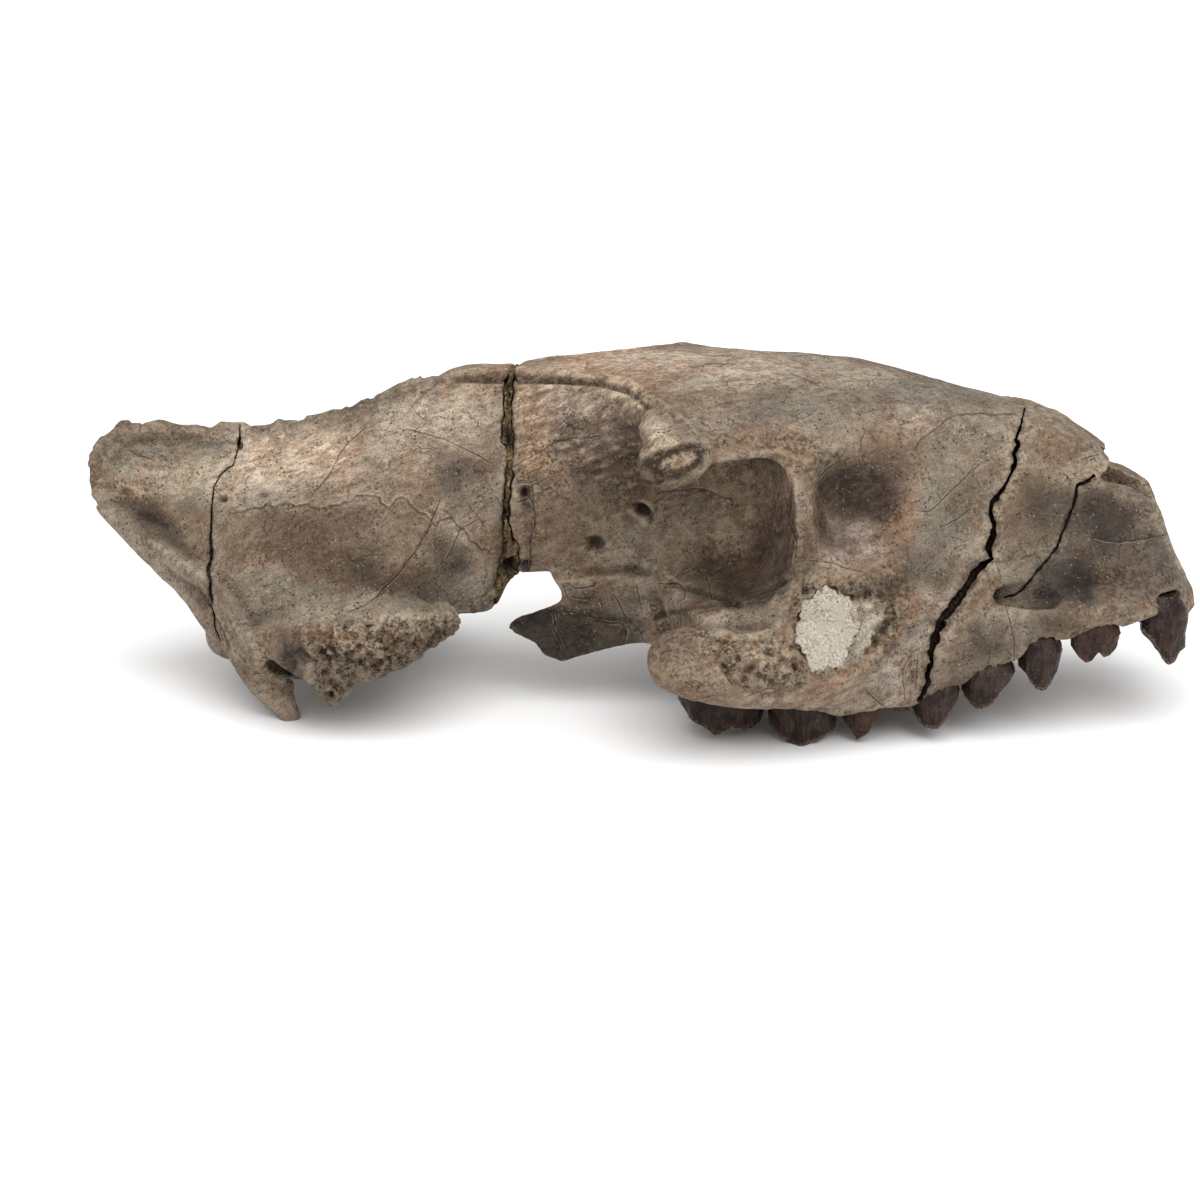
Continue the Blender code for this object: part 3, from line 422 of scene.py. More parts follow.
# The sockets of the teeth. Each tooth is a crown on a narrower root; the bone has a socket for it,
# a little wider than the tooth. Outer and inner are heights along the crown's lower edge, from back
# to front.
TEETH = (
    dict(name="molar_3", back=9.6, front=27.2, out_back=32.6, out_front=34.0, width=15.5,
         gum=11.0, outer=(8.2, 4.4, 3.0, 1.2, 2.8, 2.2, 2.6), inner=(7.0, 3.6, 4.2, 2.8, 4.0)),
    dict(name="molar_2", back=27.6, front=41.6, out_back=34.0, out_front=34.0, width=15.5,
         gum=9.0, outer=(3.2, 1.6, 0.2, -0.6, 0.3, 1.2, 2.0), inner=(3.4, 0.6, 2.6, 0.6, 2.4)),
    dict(name="molar_1", back=42.0, front=55.8, out_back=34.0, out_front=31.8, width=14.0,
         gum=9.0, outer=(4.0, 0.4, 2.4, 6.6, 6.9, 6.6, 6.2), inner=(5.4, 4.2, 5.2, 5.0, 5.6)),
    dict(name="premolar_4", back=56.3, front=65.5, out_back=31.6, out_front=30.2, width=11.5,
         gum=10.5, outer=(4.6, 3.2, 3.0, 3.6, 5.0, 7.2, 9.4), inner=(6.0, 4.6, 6.4)),
    dict(name="premolar_3", back=65.8, front=76.4, out_back=29.9, out_front=27.0, width=9.5,
         gum=14.0, outer=(7.2, 6.2, 6.8, 8.2, 9.9, 11.6, 13.4), inner=(10.8, 8.8, 12.4)),
    dict(name="premolar_2", back=77.0, front=85.6, out_back=26.8, out_front=24.4, width=7.5,
         gum=18.0, outer=(14.0, 11.4, 9.9, 9.5, 10.6, 13.0, 16.6), inner=(13.6, 11.2, 15.8)),
    dict(name="premolar_1", back=87.2, front=97.4, out_back=23.8, out_front=21.4, width=5.6,
         gum=20.5, outer=(17.6, 15.5, 14.7, 15.2, 17.6, 15.9, 16.0, 17.0, 19.0),
         inner=(18.0, 16.0, 19.0, 16.6, 18.8)),
    dict(name="canine", back=101.4, front=110.8, out_back=19.6, out_front=16.6, width=7.4,
         gum=23.5, outer=(20.4, 18.0, 14.5, 13.3, 13.7, 15.6, 16.0), inner=(19.6, 15.0, 16.4)),
)
# The left side is hidden in the photograph. These of its teeth are whole there.
LEFT_EDGES = {
    "molar_1": dict(outer=(2.4, 0.8, 2.2, 0.9, 2.6), inner=(3.6, 1.6, 3.4, 1.8, 3.8)),
    "premolar_1": dict(outer=(17.6, 14.4, 14.0, 15.2, 17.8), inner=(17.8, 15.0, 14.8, 15.8, 18.0)),
    "canine": dict(outer=(16.0, 11.0, 14.6), inner=(16.6, 11.6, 15.2)),
}
ROOT_DEPTH, SOCKET_GAP = 3.5, 0.3


def tooth_spec(spec, side):
    return dict(spec, **LEFT_EDGES.get(spec["name"], {})) if side == "left" else spec


def tooth_place(spec, u, w, along, across, height, grow=0.0):
    """Skull places for tooth places: u from back to front, w from inside to outside, -1 to 1."""
    length = spec["front"] - spec["back"]
    turn = math.atan2(spec["out_back"] - spec["out_front"], length)
    x = u * (length * along / 2 + grow)
    y = -w * (spec["width"] * across / 2 + grow)
    middle_y = (spec["width"] - spec["out_back"] - spec["out_front"]) / 2
    return np.stack(((spec["front"] + spec["back"]) / 2 + x * math.cos(turn) - y * math.sin(turn),
                     middle_y + x * math.sin(turn) + y * math.cos(turn), height + 0 * x), axis=-1)


def crown_edge(spec, u, w):
    """The height of the crown's lower edge at a tooth place."""
    outer, inner = (np.interp(u, np.linspace(-1.0, 1.0, len(spec[way])), spec[way])
                    for way in ("outer", "inner"))
    return inner + (outer - inner) * (w + 1) / 2


def oval(points, squareness=0.7):
    angle = 2 * np.pi * (np.arange(points) + 0.5) / points
    return (np.sign(np.cos(angle)) * np.abs(np.cos(angle)) ** squareness,
            np.sign(np.sin(angle)) * np.abs(np.sin(angle)) ** squareness)


def socket(spec, side):
    u, w = oval(32)
    rings = [tooth_place(spec, u, w, along, across, height, SOCKET_GAP) for along, across, height in (
        (0.74, 0.64, spec["gum"] + ROOT_DEPTH + SOCKET_GAP), (1.0, 1.0, spec["gum"] - 1.0),
        (1.0, 1.0, -6.0))]
    body = loft("socket", rings)
    if side == "right":
        return body
    left = mirrored(body)
    bpy.data.objects.remove(body, do_unlink=True)
    return left


cut(cranium, [socket(tooth_spec(spec, side), side) for spec in TEETH for side in ("right", "left")])

# The hole in the right cheek where the wall is broken and sediment shows.
CHEEK_PATCH = ((44.6, 30.6), (42.0, 33.4), (38.0, 34.4), (34.6, 32.4), (33.4, 28.4), (34.4, 24.0),
               (36.6, 20.4), (40.4, 19.4), (43.6, 21.6), (46.2, 25.6))


def cheek_patch(shrink):
    """The body that cuts the hole, tapering inwards, smaller all round by a distance."""
    centre = np.array((39.8, 0.0, 26.8))
    edge = np.array([(x, 0.0, z) for x, z in CHEEK_PATCH]) - centre
    rings = []
    for out, scale in ((-52, 1.1), (-41, 1.0), (-36.5, 0.8), (-34, 0.4)):
        ring = edge * scale
        ring -= ring / np.linalg.norm(ring, axis=1)[:, None] * shrink
        curve = smooth_curve(centre + ring + np.array((0.0, out - shrink, 0.0)), 90, True)
        swing = 1 + 0.07 * np.sin(np.arange(90) * 0.49) + 0.05 * np.sin(np.arange(90) * 1.61 + 1)
        rings.append(centre + (curve - centre) * (1, 0, 1) * swing[:, None] + curve * (0, 1, 0))
    return loft("cheek_patch", rings)


cheek_body = new_object("cheek_body", cranium.data.copy())
cut(cheek_body, [cheek_patch(-0.4)], "INTERSECT")
cut(cranium, [cheek_patch(0.0)])

# The break behind the brow. The skull is two fragments, glued again with a gap of 1 to 3 mm. Each
# row is a height with the gap's rear and front edge there; the gap wanders on the hidden side.
BREAK_EDGES = ((80, -25.6, -24.2), (68.5, -25.7, -24.3), (66.3, -25.8, -24.6), (64.4, -26.6, -24.8),
               (60.1, -26.1, -24.7), (57.2, -26.5, -24.1), (54.7, -26.2, -23.8), (54, -25.2, -23.9),
               (50.6, -25.2, -24.0), (46.9, -25.4, -24.2), (44.4, -25.6, -24.7), (40, -25.8, -24.9),
               (36.8, -25.9, -24.4), (33.8, -26.1, -22.9), (30.4, -26.9, -23.2),
               (26, -28.1, -23.7), (20, -28.6, -25.5), (8, -29.5, -27))


def break_gap(widen=0.0):
    """The body that parts the skull, wider on each side by a distance."""
    heights = np.arange(80.0, 8.0, -0.7)
    known = np.array(BREAK_EDGES)[::-1]
    rear = (np.interp(heights, known[:, 0], known[:, 1]) - widen
            + 0.18 * np.sin(heights * 2.1 + 1.0) + 0.14 * np.sin(heights * 5.3))
    front = (np.interp(heights, known[:, 0], known[:, 2]) + widen
             + 0.25 * np.sin(heights * 1.7) + 0.2 * np.sin(heights * 4.1 + 2.0))
    rings = []
    for y in np.linspace(-60.0, 60.0, 61):
        hidden = min(1.0, max(0.0, (y + 3.0) / 8.0))
        sway = hidden * (1.1 * math.sin(y / 6.0 + 0.6) + 0.5 * math.sin(y / 2.3))
        ring = [(x + sway, y, z) for x, z in zip(rear, heights)]
        ring += [(max(x, other + 0.5) + sway, y, z)
                 for x, other, z in zip(front[::-1], rear[::-1], heights[::-1])]
        rings.append(ring)
    return loft("break_gap", rings)


break_body = new_object("break_body", cranium.data.copy())
cut(cranium, [break_gap()])


def fragment(name, pick, voxel):
    """The fragment that holds the vertex picked from all, with a fine even skin."""
    bm = bmesh.new()
    bm.from_mesh(cranium.data)
    for vert in bm.verts:
        vert.tag = False
    reached = [pick(bm.verts, key=lambda v: v.co.x)]
    reached[0].tag = True
    while reached:
        for edge in reached.pop().link_edges:
            for vert in edge.verts:
                if not vert.tag:
                    vert.tag = True
                    reached.append(vert)
    bmesh.ops.delete(bm, geom=[v for v in bm.verts if not v.tag], context="VERTS")
    return fused(name, [made_of(name + "_cut", bm)], voxel)


face = fragment("bone_face", max, FACE_GRID)
braincase = fragment("bone_braincase", min, BRAINCASE_GRID)

# The surface of the bone. Low relief is laid on by strokes and areas drawn in the picture plane:
# ridges, lips, grooves and pits; then noise for worn bone, muscle scars and spongy broken bone.
def skin(obj):
    """The places in millimetres and the outward ways of a mesh's points."""
    count = len(obj.data.vertices)
    places, ways = np.empty(count * 3, np.float32), np.empty(count * 3, np.float32)
    obj.data.vertices.foreach_get("co", places)
    obj.data.vertex_normals.foreach_get("vector", ways)
    return places.reshape(-1, 3) / MM, ways.reshape(-1, 3).astype(float)


def move_skin(obj, places):
    obj.data.vertices.foreach_set("co", (places * MM).astype(np.float32).ravel())
    obj.data.update()


def shade_smooth(obj):
    obj.data.polygons.foreach_set("use_smooth", np.ones(len(obj.data.polygons), bool))


def spread(obj, values, times):
    """Values averaged with those of the neighbouring points, a number of times."""
    pairs = np.empty(len(obj.data.edges) * 2, np.int32)
    obj.data.edges.foreach_get("vertices", pairs)
    one, two = pairs.reshape(-1, 2).T
    count = len(values)
    links = np.bincount(one, minlength=count) + np.bincount(two, minlength=count)
    for _ in range(times):
        total = np.bincount(one, values[two], count) + np.bincount(two, values[one], count)
        values = 0.5 * values + 0.5 * total / np.maximum(links, 1)
    return values


def evened(obj, places, times):
    return np.stack([spread(obj, places[:, k], times) for k in range(3)], axis=1)


def mixed(cells, seed):
    """A number from 0 to 1 for each whole-number place."""
    key = (cells * (73856093, 19349663, 83492791)).sum(axis=1) + seed * 7919
    key = (key ^ (key >> 13)) * 1274126177 & 0x7FFFFFFF
    return ((key ^ (key >> 15)) & 0xFFFF) / 65535.0


def noise(places, size, seed=0):
    """Smooth noise from -1 to 1 with blobs of a size in millimetres, or one size per axis."""
    grid = places / np.array(size) + seed * 31.7
    cell = np.floor(grid).astype(np.int64)
    part = grid - cell
    part = part * part * (3.0 - 2.0 * part)
    total = np.zeros(len(places))
    for corner in np.ndindex(2, 2, 2):
        total += ((2.0 * mixed(cell + corner, seed) - 1.0)
                  * np.where(corner, part, 1.0 - part).prod(axis=1))
    return total


def layers(places, size, seed=0, count=4):
    """Noise with finer noise on it, each layer half as strong and as large as the one before."""
    size = np.array(size, float)
    return sum(noise(places, size / 2 ** k, seed + k) / 2 ** k for k in range(count)) / 1.6


def bumps(places, size, seed=0):
    """Round cells: 0 at the middle of each and 1 at its walls, a size in millimetres apart."""
    grid = places / size + seed * 11.3
    cell = np.floor(grid).astype(np.int64)
    nearest = np.full(len(places), 9.0)
    for corner in np.ndindex(3, 3, 3):
        near = cell + np.array(corner) - 1
        middle = near + np.stack([mixed(near, seed + k) for k in range(3)], axis=1)
        nearest = np.minimum(nearest, np.linalg.norm(grid - middle, axis=1))
    return np.clip(nearest, 0.0, 1.0)


def to_line(view, line):
    """Distance in picture points to a line, with its sign by side, and the share passed."""
    line = np.array(line, float)[:, :2]
    best, sign, passed = np.full(len(view), 1e6), np.ones(len(view)), np.zeros(len(view))
    lengths = np.hypot(*np.diff(line, axis=0).T)
    start = 0.0
    for a, b, length in zip(line, line[1:], lengths):
        along = np.clip((view - a) @ (b - a) / length ** 2, 0.0, 1.0)
        off = view - a - along[:, None] * (b - a)
        far = np.hypot(off[:, 0], off[:, 1])
        near = far < best
        best[near] = far[near]
        side = (b - a)[0] * (view[:, 1] - a[1]) - (b - a)[1] * (view[:, 0] - a[0])
        sign[near] = np.where(side[near] < 0.0, -1.0, 1.0)
        passed[near] = (start + along[near] * length) / lengths.sum()
        start += length
    return best, sign, passed


def in_outline(view, outline, soft):
    """1 inside an outline and 0 outside, over a soft edge in picture points."""
    outline = np.array(outline, float)
    closed = np.concatenate((outline, outline[:1]))
    inside = np.zeros(len(view), bool)
    for a, b in zip(closed, closed[1:]):
        spans = (a[1] > view[:, 1]) != (b[1] > view[:, 1])
        slope = (b[0] - a[0]) / (b[1] - a[1]) if b[1] != a[1] else 0.0
        inside ^= spans & (view[:, 0] < a[0] + (view[:, 1] - a[1]) * slope)
    away = to_line(view, closed)[0] * np.where(inside, 1.0, -1.0)
    return ramp(away, -soft / 2, soft / 2)


def ramp(value, low, high):
    part = np.clip((value - low) / (high - low), 0.0, 1.0)
    return part * part * (3.0 - 2.0 * part)


RIGHT_SIDE, BOTH_SIDES, FAR_OUT = 0, 1, 2


class Sight:
    """What the strokes need to know of a skin: where it shows from the skull's near side. What is
    drawn there lies on the right side, on both sides, or on both but only far out at the side."""
    def __init__(self, places, ways):
        self.places, self.ways = places, ways
        self.right = places[:, 1] < 0.0
        flip = np.where(self.right, 1.0, -1.0)[:, None] * (0, 1, 0) + (1, 0, 1)
        self.near_places, near_ways = places * flip, ways * flip
        self.view = in_view(self.near_places)
        sight = VIEW_FROM - self.near_places
        sight /= np.linalg.norm(sight, axis=1)[:, None]
        self.facing = ramp((near_ways * sight).sum(axis=1), -0.05, 0.2)

    def seen(self, sides):
        if sides == FAR_OUT:
            return self.facing * ramp(np.abs(self.places[:, 1]), 27.0, 30.0)
        return self.facing if sides == BOTH_SIDES else self.facing * self.right

    def stroke(self, line, half_width, sides=BOTH_SIDES):
        """1 along a line and 0 at half_width from it; a point's third number scales it there."""
        line = np.array(line, float)
        lows, highs = line[:, :2].min(axis=0) - half_width, line[:, :2].max(axis=0) + half_width
        near = np.all((self.view > lows) & (self.view < highs), axis=1) & (self.seen(sides) > 0)
        amount = np.zeros(len(self.view))
        if near.any():
            if len(line) > 2:
                line = smooth_curve(line, 4 * len(line))
            away, _, passed = to_line(self.view[near], line)
            amount[near] = np.cos(np.clip(away / half_width, 0, 1) * math.pi / 2) ** 2
            if line.shape[1] > 2:
                steps = np.hypot(*np.diff(line[:, :2], axis=0).T)
                amount[near] *= np.interp(passed, np.append(0, steps.cumsum()) / steps.sum(),
                                          line[:, 2])
        return amount * self.seen(sides)

    def area(self, outline, soft=8.0, sides=BOTH_SIDES):
        """1 inside an outline and 0 outside, over a soft edge in picture points."""
        return in_outline(self.view, outline, soft) * self.seen(sides)

    def spot(self, middle, radii, tilt=0.0, sides=BOTH_SIDES):
        """1 in the middle of an oval spot and 0 at its edge."""
        off = self.view - np.array(middle, float)
        turn = math.radians(tilt)
        along = (off[:, 0] * math.cos(turn) - off[:, 1] * math.sin(turn)) / radii[0]
        across = (off[:, 0] * math.sin(turn) + off[:, 1] * math.cos(turn)) / radii[1]
        return np.cos(np.clip(np.hypot(along, across), 0, 1) * math.pi / 2) ** 2 * self.seen(sides)


# Ridges and grooves: height in millimetres, half width in picture points, sides (0 the right side,
# 1 both, 2 both but only far out) and the line. The same numbers stand for the sides further down.
RELIEF = (
    # lip of the temple muscle's hollow, and the groove below it
    (0.8, 6, 1, ((437, 370, 0.3), (470, 371), (515, 371), (545, 371), (579, 374), (605, 377), (625, 381),
        (640, 388), (653, 398), (666, 408), (680, 418), (694, 428))),
    (-1.3, 4, 1, ((455, 379), (502, 381), (545, 381), (585, 383), (608, 386), (627, 391), (638, 399),
        (645, 408))),
    # rough lip along the crest
    (0.7, 8, 1, ((90, 470), (97, 450), (117, 431), (150, 426), (200, 430), (241, 431), (290, 421),
        (335, 404), (380, 388), (430, 374))),
    (-0.5, 9, 1, ((112, 462), (130, 445), (165, 440), (205, 445), (241, 446), (290, 438), (335, 421),
        (380, 404), (430, 388))),
    # upper and front rim of the eye socket
    (0.35, 6, 1, ((706, 461), (723, 458), (742, 454), (761, 452), (780, 452), (795, 457), (805, 461))),
    (0.5, 8, 1, ((806, 465), (811, 478), (809, 493), (812, 512), (814, 530), (812, 548), (805, 563),
        (797, 580), (788, 598), (779, 617))),
    (-0.6, 6, 1, ((790, 487), (789, 521), (797, 540), (794, 560), (789, 579), (779, 598))),
    # smooth ridge up the cheek, and the rim of the cheek's stump
    (0.8, 10, 1, ((800, 712), (831, 694), (860, 671), (889, 646), (908, 632), (931, 606))),
    (0.7, 6, 1, ((684, 628), (716, 631), (739, 638), (764, 634), (778, 625))),
    (0.6, 5, 0, ((730, 638), (718, 646), (715, 660), (720, 675), (732, 686), (749, 696))),
    # floor of the socket: two grooves that meet in a small hole
    (-0.9, 4, 1, ((655, 620), (661, 615), (688, 610), (722, 605), (738, 605))),
    (-0.8, 4, 1, ((669, 583), (703, 592), (720, 599), (738, 605))),
    (-0.8, 4, 1, ((762, 592), (774, 587), (785, 581))),
    # ridge round the back of the skull
    (0.8, 8, 1, ((180, 563), (205, 577), (222, 590), (236, 606), (247, 626), (255, 650), (261, 668),
        (284, 680), (298, 689))),
    (-0.7, 10, 1, ((190, 590), (212, 606), (228, 628), (238, 652), (245, 672))),
    # seam of the temple bone, raised
    (0.35, 5, 1, ((230, 511), (260, 505), (308, 502), (322, 505), (348, 500), (363, 493), (387, 505),
        (398, 494), (415, 507), (430, 520), (452, 525), (467, 531), (480, 546), (494, 552))),
    # bulge of the braincase and the hollow shelf above the arch root
    (0.9, 34, 1, ((240, 560), (300, 548), (360, 540), (420, 556), (470, 580))),
    # long hollow behind the break and its lower edge
    (-0.6, 14, 1, ((420, 440), (455, 455), (480, 470))),
    (0.5, 7, 1, ((560, 571), (600, 565), (640, 562), (672, 576))),
    # pillar and slot by the ear
    (0.9, 8, 1, ((311, 660), (310, 675), (306, 690))), (-1.6, 4, 1, ((300, 649), (307, 656), (315, 662))),
    # edge of the nose roof, and the flat strip above the near seam
    (0.5, 5, 1, ((1023, 402), (1040, 409), (1060, 420))),
    (-0.35, 5, 1, ((860, 384), (912, 398), (960, 404), (1012, 408))),
    # flaked layers at the back of the crest
    (0.45, 5, 1, ((96, 480), (118, 482), (142, 492))), (-0.6, 4, 1, ((104, 488), (130, 494))),
    (-0.7, 5, 1, ((140, 514), (150, 518), (166, 526))), (0.5, 6, 1, ((118, 506), (140, 530), (166, 552))),
    (-0.5, 4, 1, ((128, 450), (140, 456), (153, 460))),
    # ledge below the eye socket, and the edge of the temple's floor
    (0.5, 5, 1, ((660, 622), (680, 613), (712, 610), (736, 616))),
    (-0.6, 5, 1, ((560, 578), (600, 572), (650, 574))),
    # plates of the throat wall
    (-0.7, 3, 0, ((566, 590), (577, 587), (590, 592), (594, 600), (584, 604), (568, 602))),
    (0.5, 7, 0, ((512, 622), (535, 612), (560, 606))), (-0.5, 3, 0, ((560, 604), (580, 616), (640, 622))),
    # lines that rise across the upper braincase and the temple
    (-0.3, 3, 1, ((364, 428), (345, 446), (327, 478), (313, 493))),
    (-0.45, 4, 1, ((440, 500), (426, 535), (404, 566), (378, 596))),
    (0.3, 4, 1, ((510, 470), (556, 444), (604, 430))), (-0.3, 4, 1, ((512, 476), (560, 450))),
    # second lip inside the front rim of the eye socket
    (0.5, 4, 1, ((796, 480), (797, 520), (801, 552))),
    # upright folds of the bone over the premolars
    (0.5, 4, 1, ((905, 660), (902, 680), (908, 704))), (-0.5, 3, 1, ((912, 660), (910, 690))),
    (0.5, 4, 1, ((920, 656), (918, 680))), (-0.4, 5, 1, ((868, 690), (880, 706))),
    (0.45, 12, 1, ((1010, 640), (1000, 665), (985, 690))), (-0.4, 9, 1, ((1018, 610), (1014, 650))),
    (-0.5, 16, 1, ((1010, 590), (1060, 590), (1110, 600))), (0.5, 9, 1, ((1010, 618), (1050, 616))),
)

# The stumps behind the eyes: a flaky rim round a hollow of spongy bone.
RELIEF += (
    (0.35, 4, 2, ((644, 470), (646, 460), (658, 450), (676, 445), (694, 444), (704, 452), (703, 464),
                  (692, 474), (674, 480), (656, 484), (646, 480), (644, 470))),
    (-0.8, 5, 2, ((654, 470), (660, 460), (676, 453), (692, 452), (697, 459), (690, 468), (672, 474),
                  (658, 476), (654, 470))),
)

# Round dents and bosses: height, radii and tilt in the picture, sides, and middle.
SPOTS = (
    (-3.4, (13, 8), -38, 1, (642, 511)), (-2.4, (13, 11), 0, 1, (595, 544)),
    (-2.8, (6, 11), 0, 0, (525, 494)), (-1.8, (7, 8), 0, 0, (526, 566)),
    (0.5, (16, 13), 0, 0, (532, 466)), (-0.7, (12, 9), 0, 0, (549, 523)),
    (-1.6, (8, 5), 0, 1, (221, 498)), (-1.0, (10, 6), 0, 1, (262, 493)),
    (-0.6, (12, 8), 0, 1, (248, 468)), (-1.8, (4, 8), 0, 0, (239, 443)),
    (-3.0, (4, 4), 0, 1, (740, 606)), (0.9, (18, 13), 30, 2, (654, 429)),
    (-1.4, (24, 7), 8, 0, (771, 697)), (-1.2, (5, 7), 0, 0, (782, 656)),
    (-1.0, (5, 4), 0, 0, (799, 670)), (-0.8, (5, 4), 0, 0, (774, 680)),
    (-0.8, (4, 4), 0, 0, (780, 686)), (-1.2, (4, 6), 0, 0, (724, 662)),
    (-1.5, (5, 5), 0, 1, (686, 347)), (-2.0, (10, 17), 10, 1, (290, 665)),
)

# Spongy broken bone, under the arch root, on the cheek's stump and round the hole in the cheek, and
# the temple wall that the jaw muscle scarred.
SPONGY = ((300, 628), (340, 622), (400, 620), (452, 614), (476, 596), (500, 590), (470, 622),
          (430, 655), (395, 672), (350, 690), (330, 705), (312, 690), (318, 660), (305, 645))
SOCKETS = ((706, 640), (728, 636), (752, 640), (780, 636), (800, 650), (812, 668), (806, 688),
           (780, 692), (752, 692), (728, 682), (716, 662))
CHEEK_BREAK = ((800, 590), (828, 580), (862, 588), (892, 600), (902, 622), (890, 640), (862, 660),
               (836, 676), (808, 676), (794, 650), (790, 620))
SCARRED = ((520, 388), (560, 386), (610, 390), (640, 405), (650, 440), (640, 500), (600, 480),
           (560, 460), (525, 440))

# Where the first form is rounded off: how many times its points are averaged, and outline.
SOFTENED = (
    (60, ((862, 436), (925, 430), (925, 580), (850, 584), (850, 520))),
    (14, ((806, 430), (870, 430), (860, 584), (806, 570))),
    (60, ((640, 488), (700, 492), (700, 592), (640, 592))),
    (20, ((764, 440), (812, 440), (812, 500), (780, 500))),
    (30, ((236, 590), (480, 580), (480, 640), (300, 650), (250, 640))),
    (25, ((620, 380), (690, 400), (690, 446), (626, 444))),
)

# The worn edges: of the crest, along the teeth and of the broken nose, and the thin throat plates.
CREST_EDGE = ((84, 500), (86, 470), (97, 445), (117, 426), (200, 424), (241, 424), (290, 414),
              (335, 398), (380, 382), (430, 368))
TOOTH_EDGE = ((690, 706), (760, 714), (840, 722), (900, 716), (950, 700), (1000, 676), (1060, 650),
              (1110, 640), (1150, 626))
NOSE_EDGE = ((1103, 452), (1125, 480), (1150, 494), (1166, 530), (1186, 582), (1197, 610))
THROAT_PLATES = ((506, 580), (560, 580), (640, 640), (560, 668), (504, 640))

# The grain of the bone rises to the right: along it, through it and across it. The ripples of the
# muscle scar rise alike, by so many radians, and stand 2 pi times their size apart.
RIPPLE_RISE, RIPPLE_SIZE = 0.45, 0.36
SLANT = np.array(((0.91, 0.0, 0.42), (0.0, 1.0, 0.0), (-0.42, 0.0, 0.91))).T


def shape_bone(obj):
    """Lays the relief on a fragment of bone."""
    places, ways = skin(obj)
    places = evened(obj, places, 6)
    sight = Sight(places, ways)
    for times, outline in SOFTENED:
        amount = sight.area(outline, 24)[:, None]
        if amount.any():
            places += amount * (evened(obj, places, times) - places)
    move_skin(obj, places)
    places, ways = skin(obj)
    sight = Sight(places, ways)
    lift = np.zeros(len(places))
    worn = 0.75 + 0.55 * layers(places, 7.0, 13, 3)
    for height, half_width, sides, line in RELIEF:
        line = [(*point[:2], point[2] if len(point) > 2 else 1.0) for point in line]
        lift += height * worn * sight.stroke(line, half_width, sides)
    for height, radii, tilt, sides, middle in SPOTS:
        lift += height * sight.spot(middle, radii, tilt, sides)
    rough = np.clip(sight.area(SPONGY, 14) + sight.area(SOCKETS, 10)
                    + sight.area(CHEEK_BREAK, 12), 0, 1)
    lift -= rough * (1.1 * ramp(1 - bumps(places, 3.0, 1), 0.35, 0.8)
                     + 1.2 * ramp(1 - bumps(places, 1.7, 2), 0.35, 0.8) - 0.7
                     + 0.7 * layers(places, 4.0, 3, 4))
    # ripples where the jaw muscle was fixed
    scar = sight.area(SCARRED, 20)
    slope = places @ np.array((math.sin(RIPPLE_RISE), 0.0, -math.cos(RIPPLE_RISE)))
    lift += scar * (0.16 * np.sin(slope / RIPPLE_SIZE + 4.5 * layers(places, 7.0, 5))
                    + 0.6 * layers(places @ SLANT, (4.0, 4.0, 1.6), 6, 4))
    # the crest's worn edge
    crest = ramp(-places[:, 0], 30, 50) * ramp(sight.stroke(CREST_EDGE, 22), 0.2, 0.9)
    lift += crest * (0.8 * layers(places, (5.0, 5.0, 3.0), 8, 4) - 0.1)
    # broken edges along the teeth and round the thin plates
    rim = np.clip(sight.stroke(TOOTH_EDGE, 14) + sight.stroke(NOSE_EDGE, 8)
                  + sight.area(THROAT_PLATES), 0, 1)
    lift += rim * 0.55 * layers(places, 3.0, 9, 3)
    lift += 0.34 * layers(places, 9.0, 11, 3) + 0.16 * layers(places, 3.0, 15, 2)
    lift += 0.05 * layers(places @ SLANT, (6.0, 3.0, 1.4), 17, 2)
    places = places + ways * lift[:, None]
    # flakes missing along the crest and chips from its back edge; nothing goes below the floor
    top = np.interp(places[:, 0], [row[1] for row in BONE_SECTIONS],
                    [row[2][1] for row in BONE_SECTIONS])
    along = places * (1, 0, 0)
    flakes = (0.9 * ramp(layers(along, 6.0, 61, 2), 0.05, 0.2)
              + 0.5 * ramp(layers(along, 2.3, 62, 2), 0.1, 0.3))
    places[:, 2] -= flakes * ramp(places[:, 2] - top, -4.0, -0.8) * ramp(-places[:, 0], 34, 42)
    up = places * (0, 0, 1)
    chips = 0.8 * ramp(layers(up, 4.0, 63, 2), 0.0, 0.2) + 0.5 * ramp(layers(up, 1.8, 64, 2), 0, 0.3)
    places[:, 0] += chips * ramp(-places[:, 0], 103, 110)
    places[:, 2] = np.maximum(places[:, 2], 0.02)
    move_skin(obj, places)
    shade_smooth(obj)


shape_bone(face)
shape_bone(braincase)

# The cracks in the bone. They were opened by drying and pressure in the ground. Each is a jagged
# narrow cut that follows the sight lines into the bone and gets narrower inside. Each row is a point
# of the picture and the width there.
NOSE_CRACK = (
    (1024.6, 408, 1.4), (1023.6, 413, 2.0), (1021, 427, 2.3), (1016, 439, 4.2), (1018.5, 446, 4.8),
    (1014, 454, 5.2), (1015, 463, 6.2), (1011, 474, 3.6), (1006, 485, 3.4), (998, 496, 4.4),
    (992, 502, 7.4), (990.5, 513, 4.6), (994, 523, 3.8), (993, 536, 6.8), (988, 548, 7), (992, 559, 4.8),
    (984, 564, 6.6), (975, 573, 9), (967.5, 584, 9), (960, 597, 8.1), (952, 607, 9), (943, 618, 9),
    (937, 631, 8.1), (933, 643, 9.9), (930.5, 653, 6.8), (932, 663, 5.4), (927, 673, 6.8),
    (928, 684, 5.4), (923, 694, 5.4), (919, 702, 5.4))
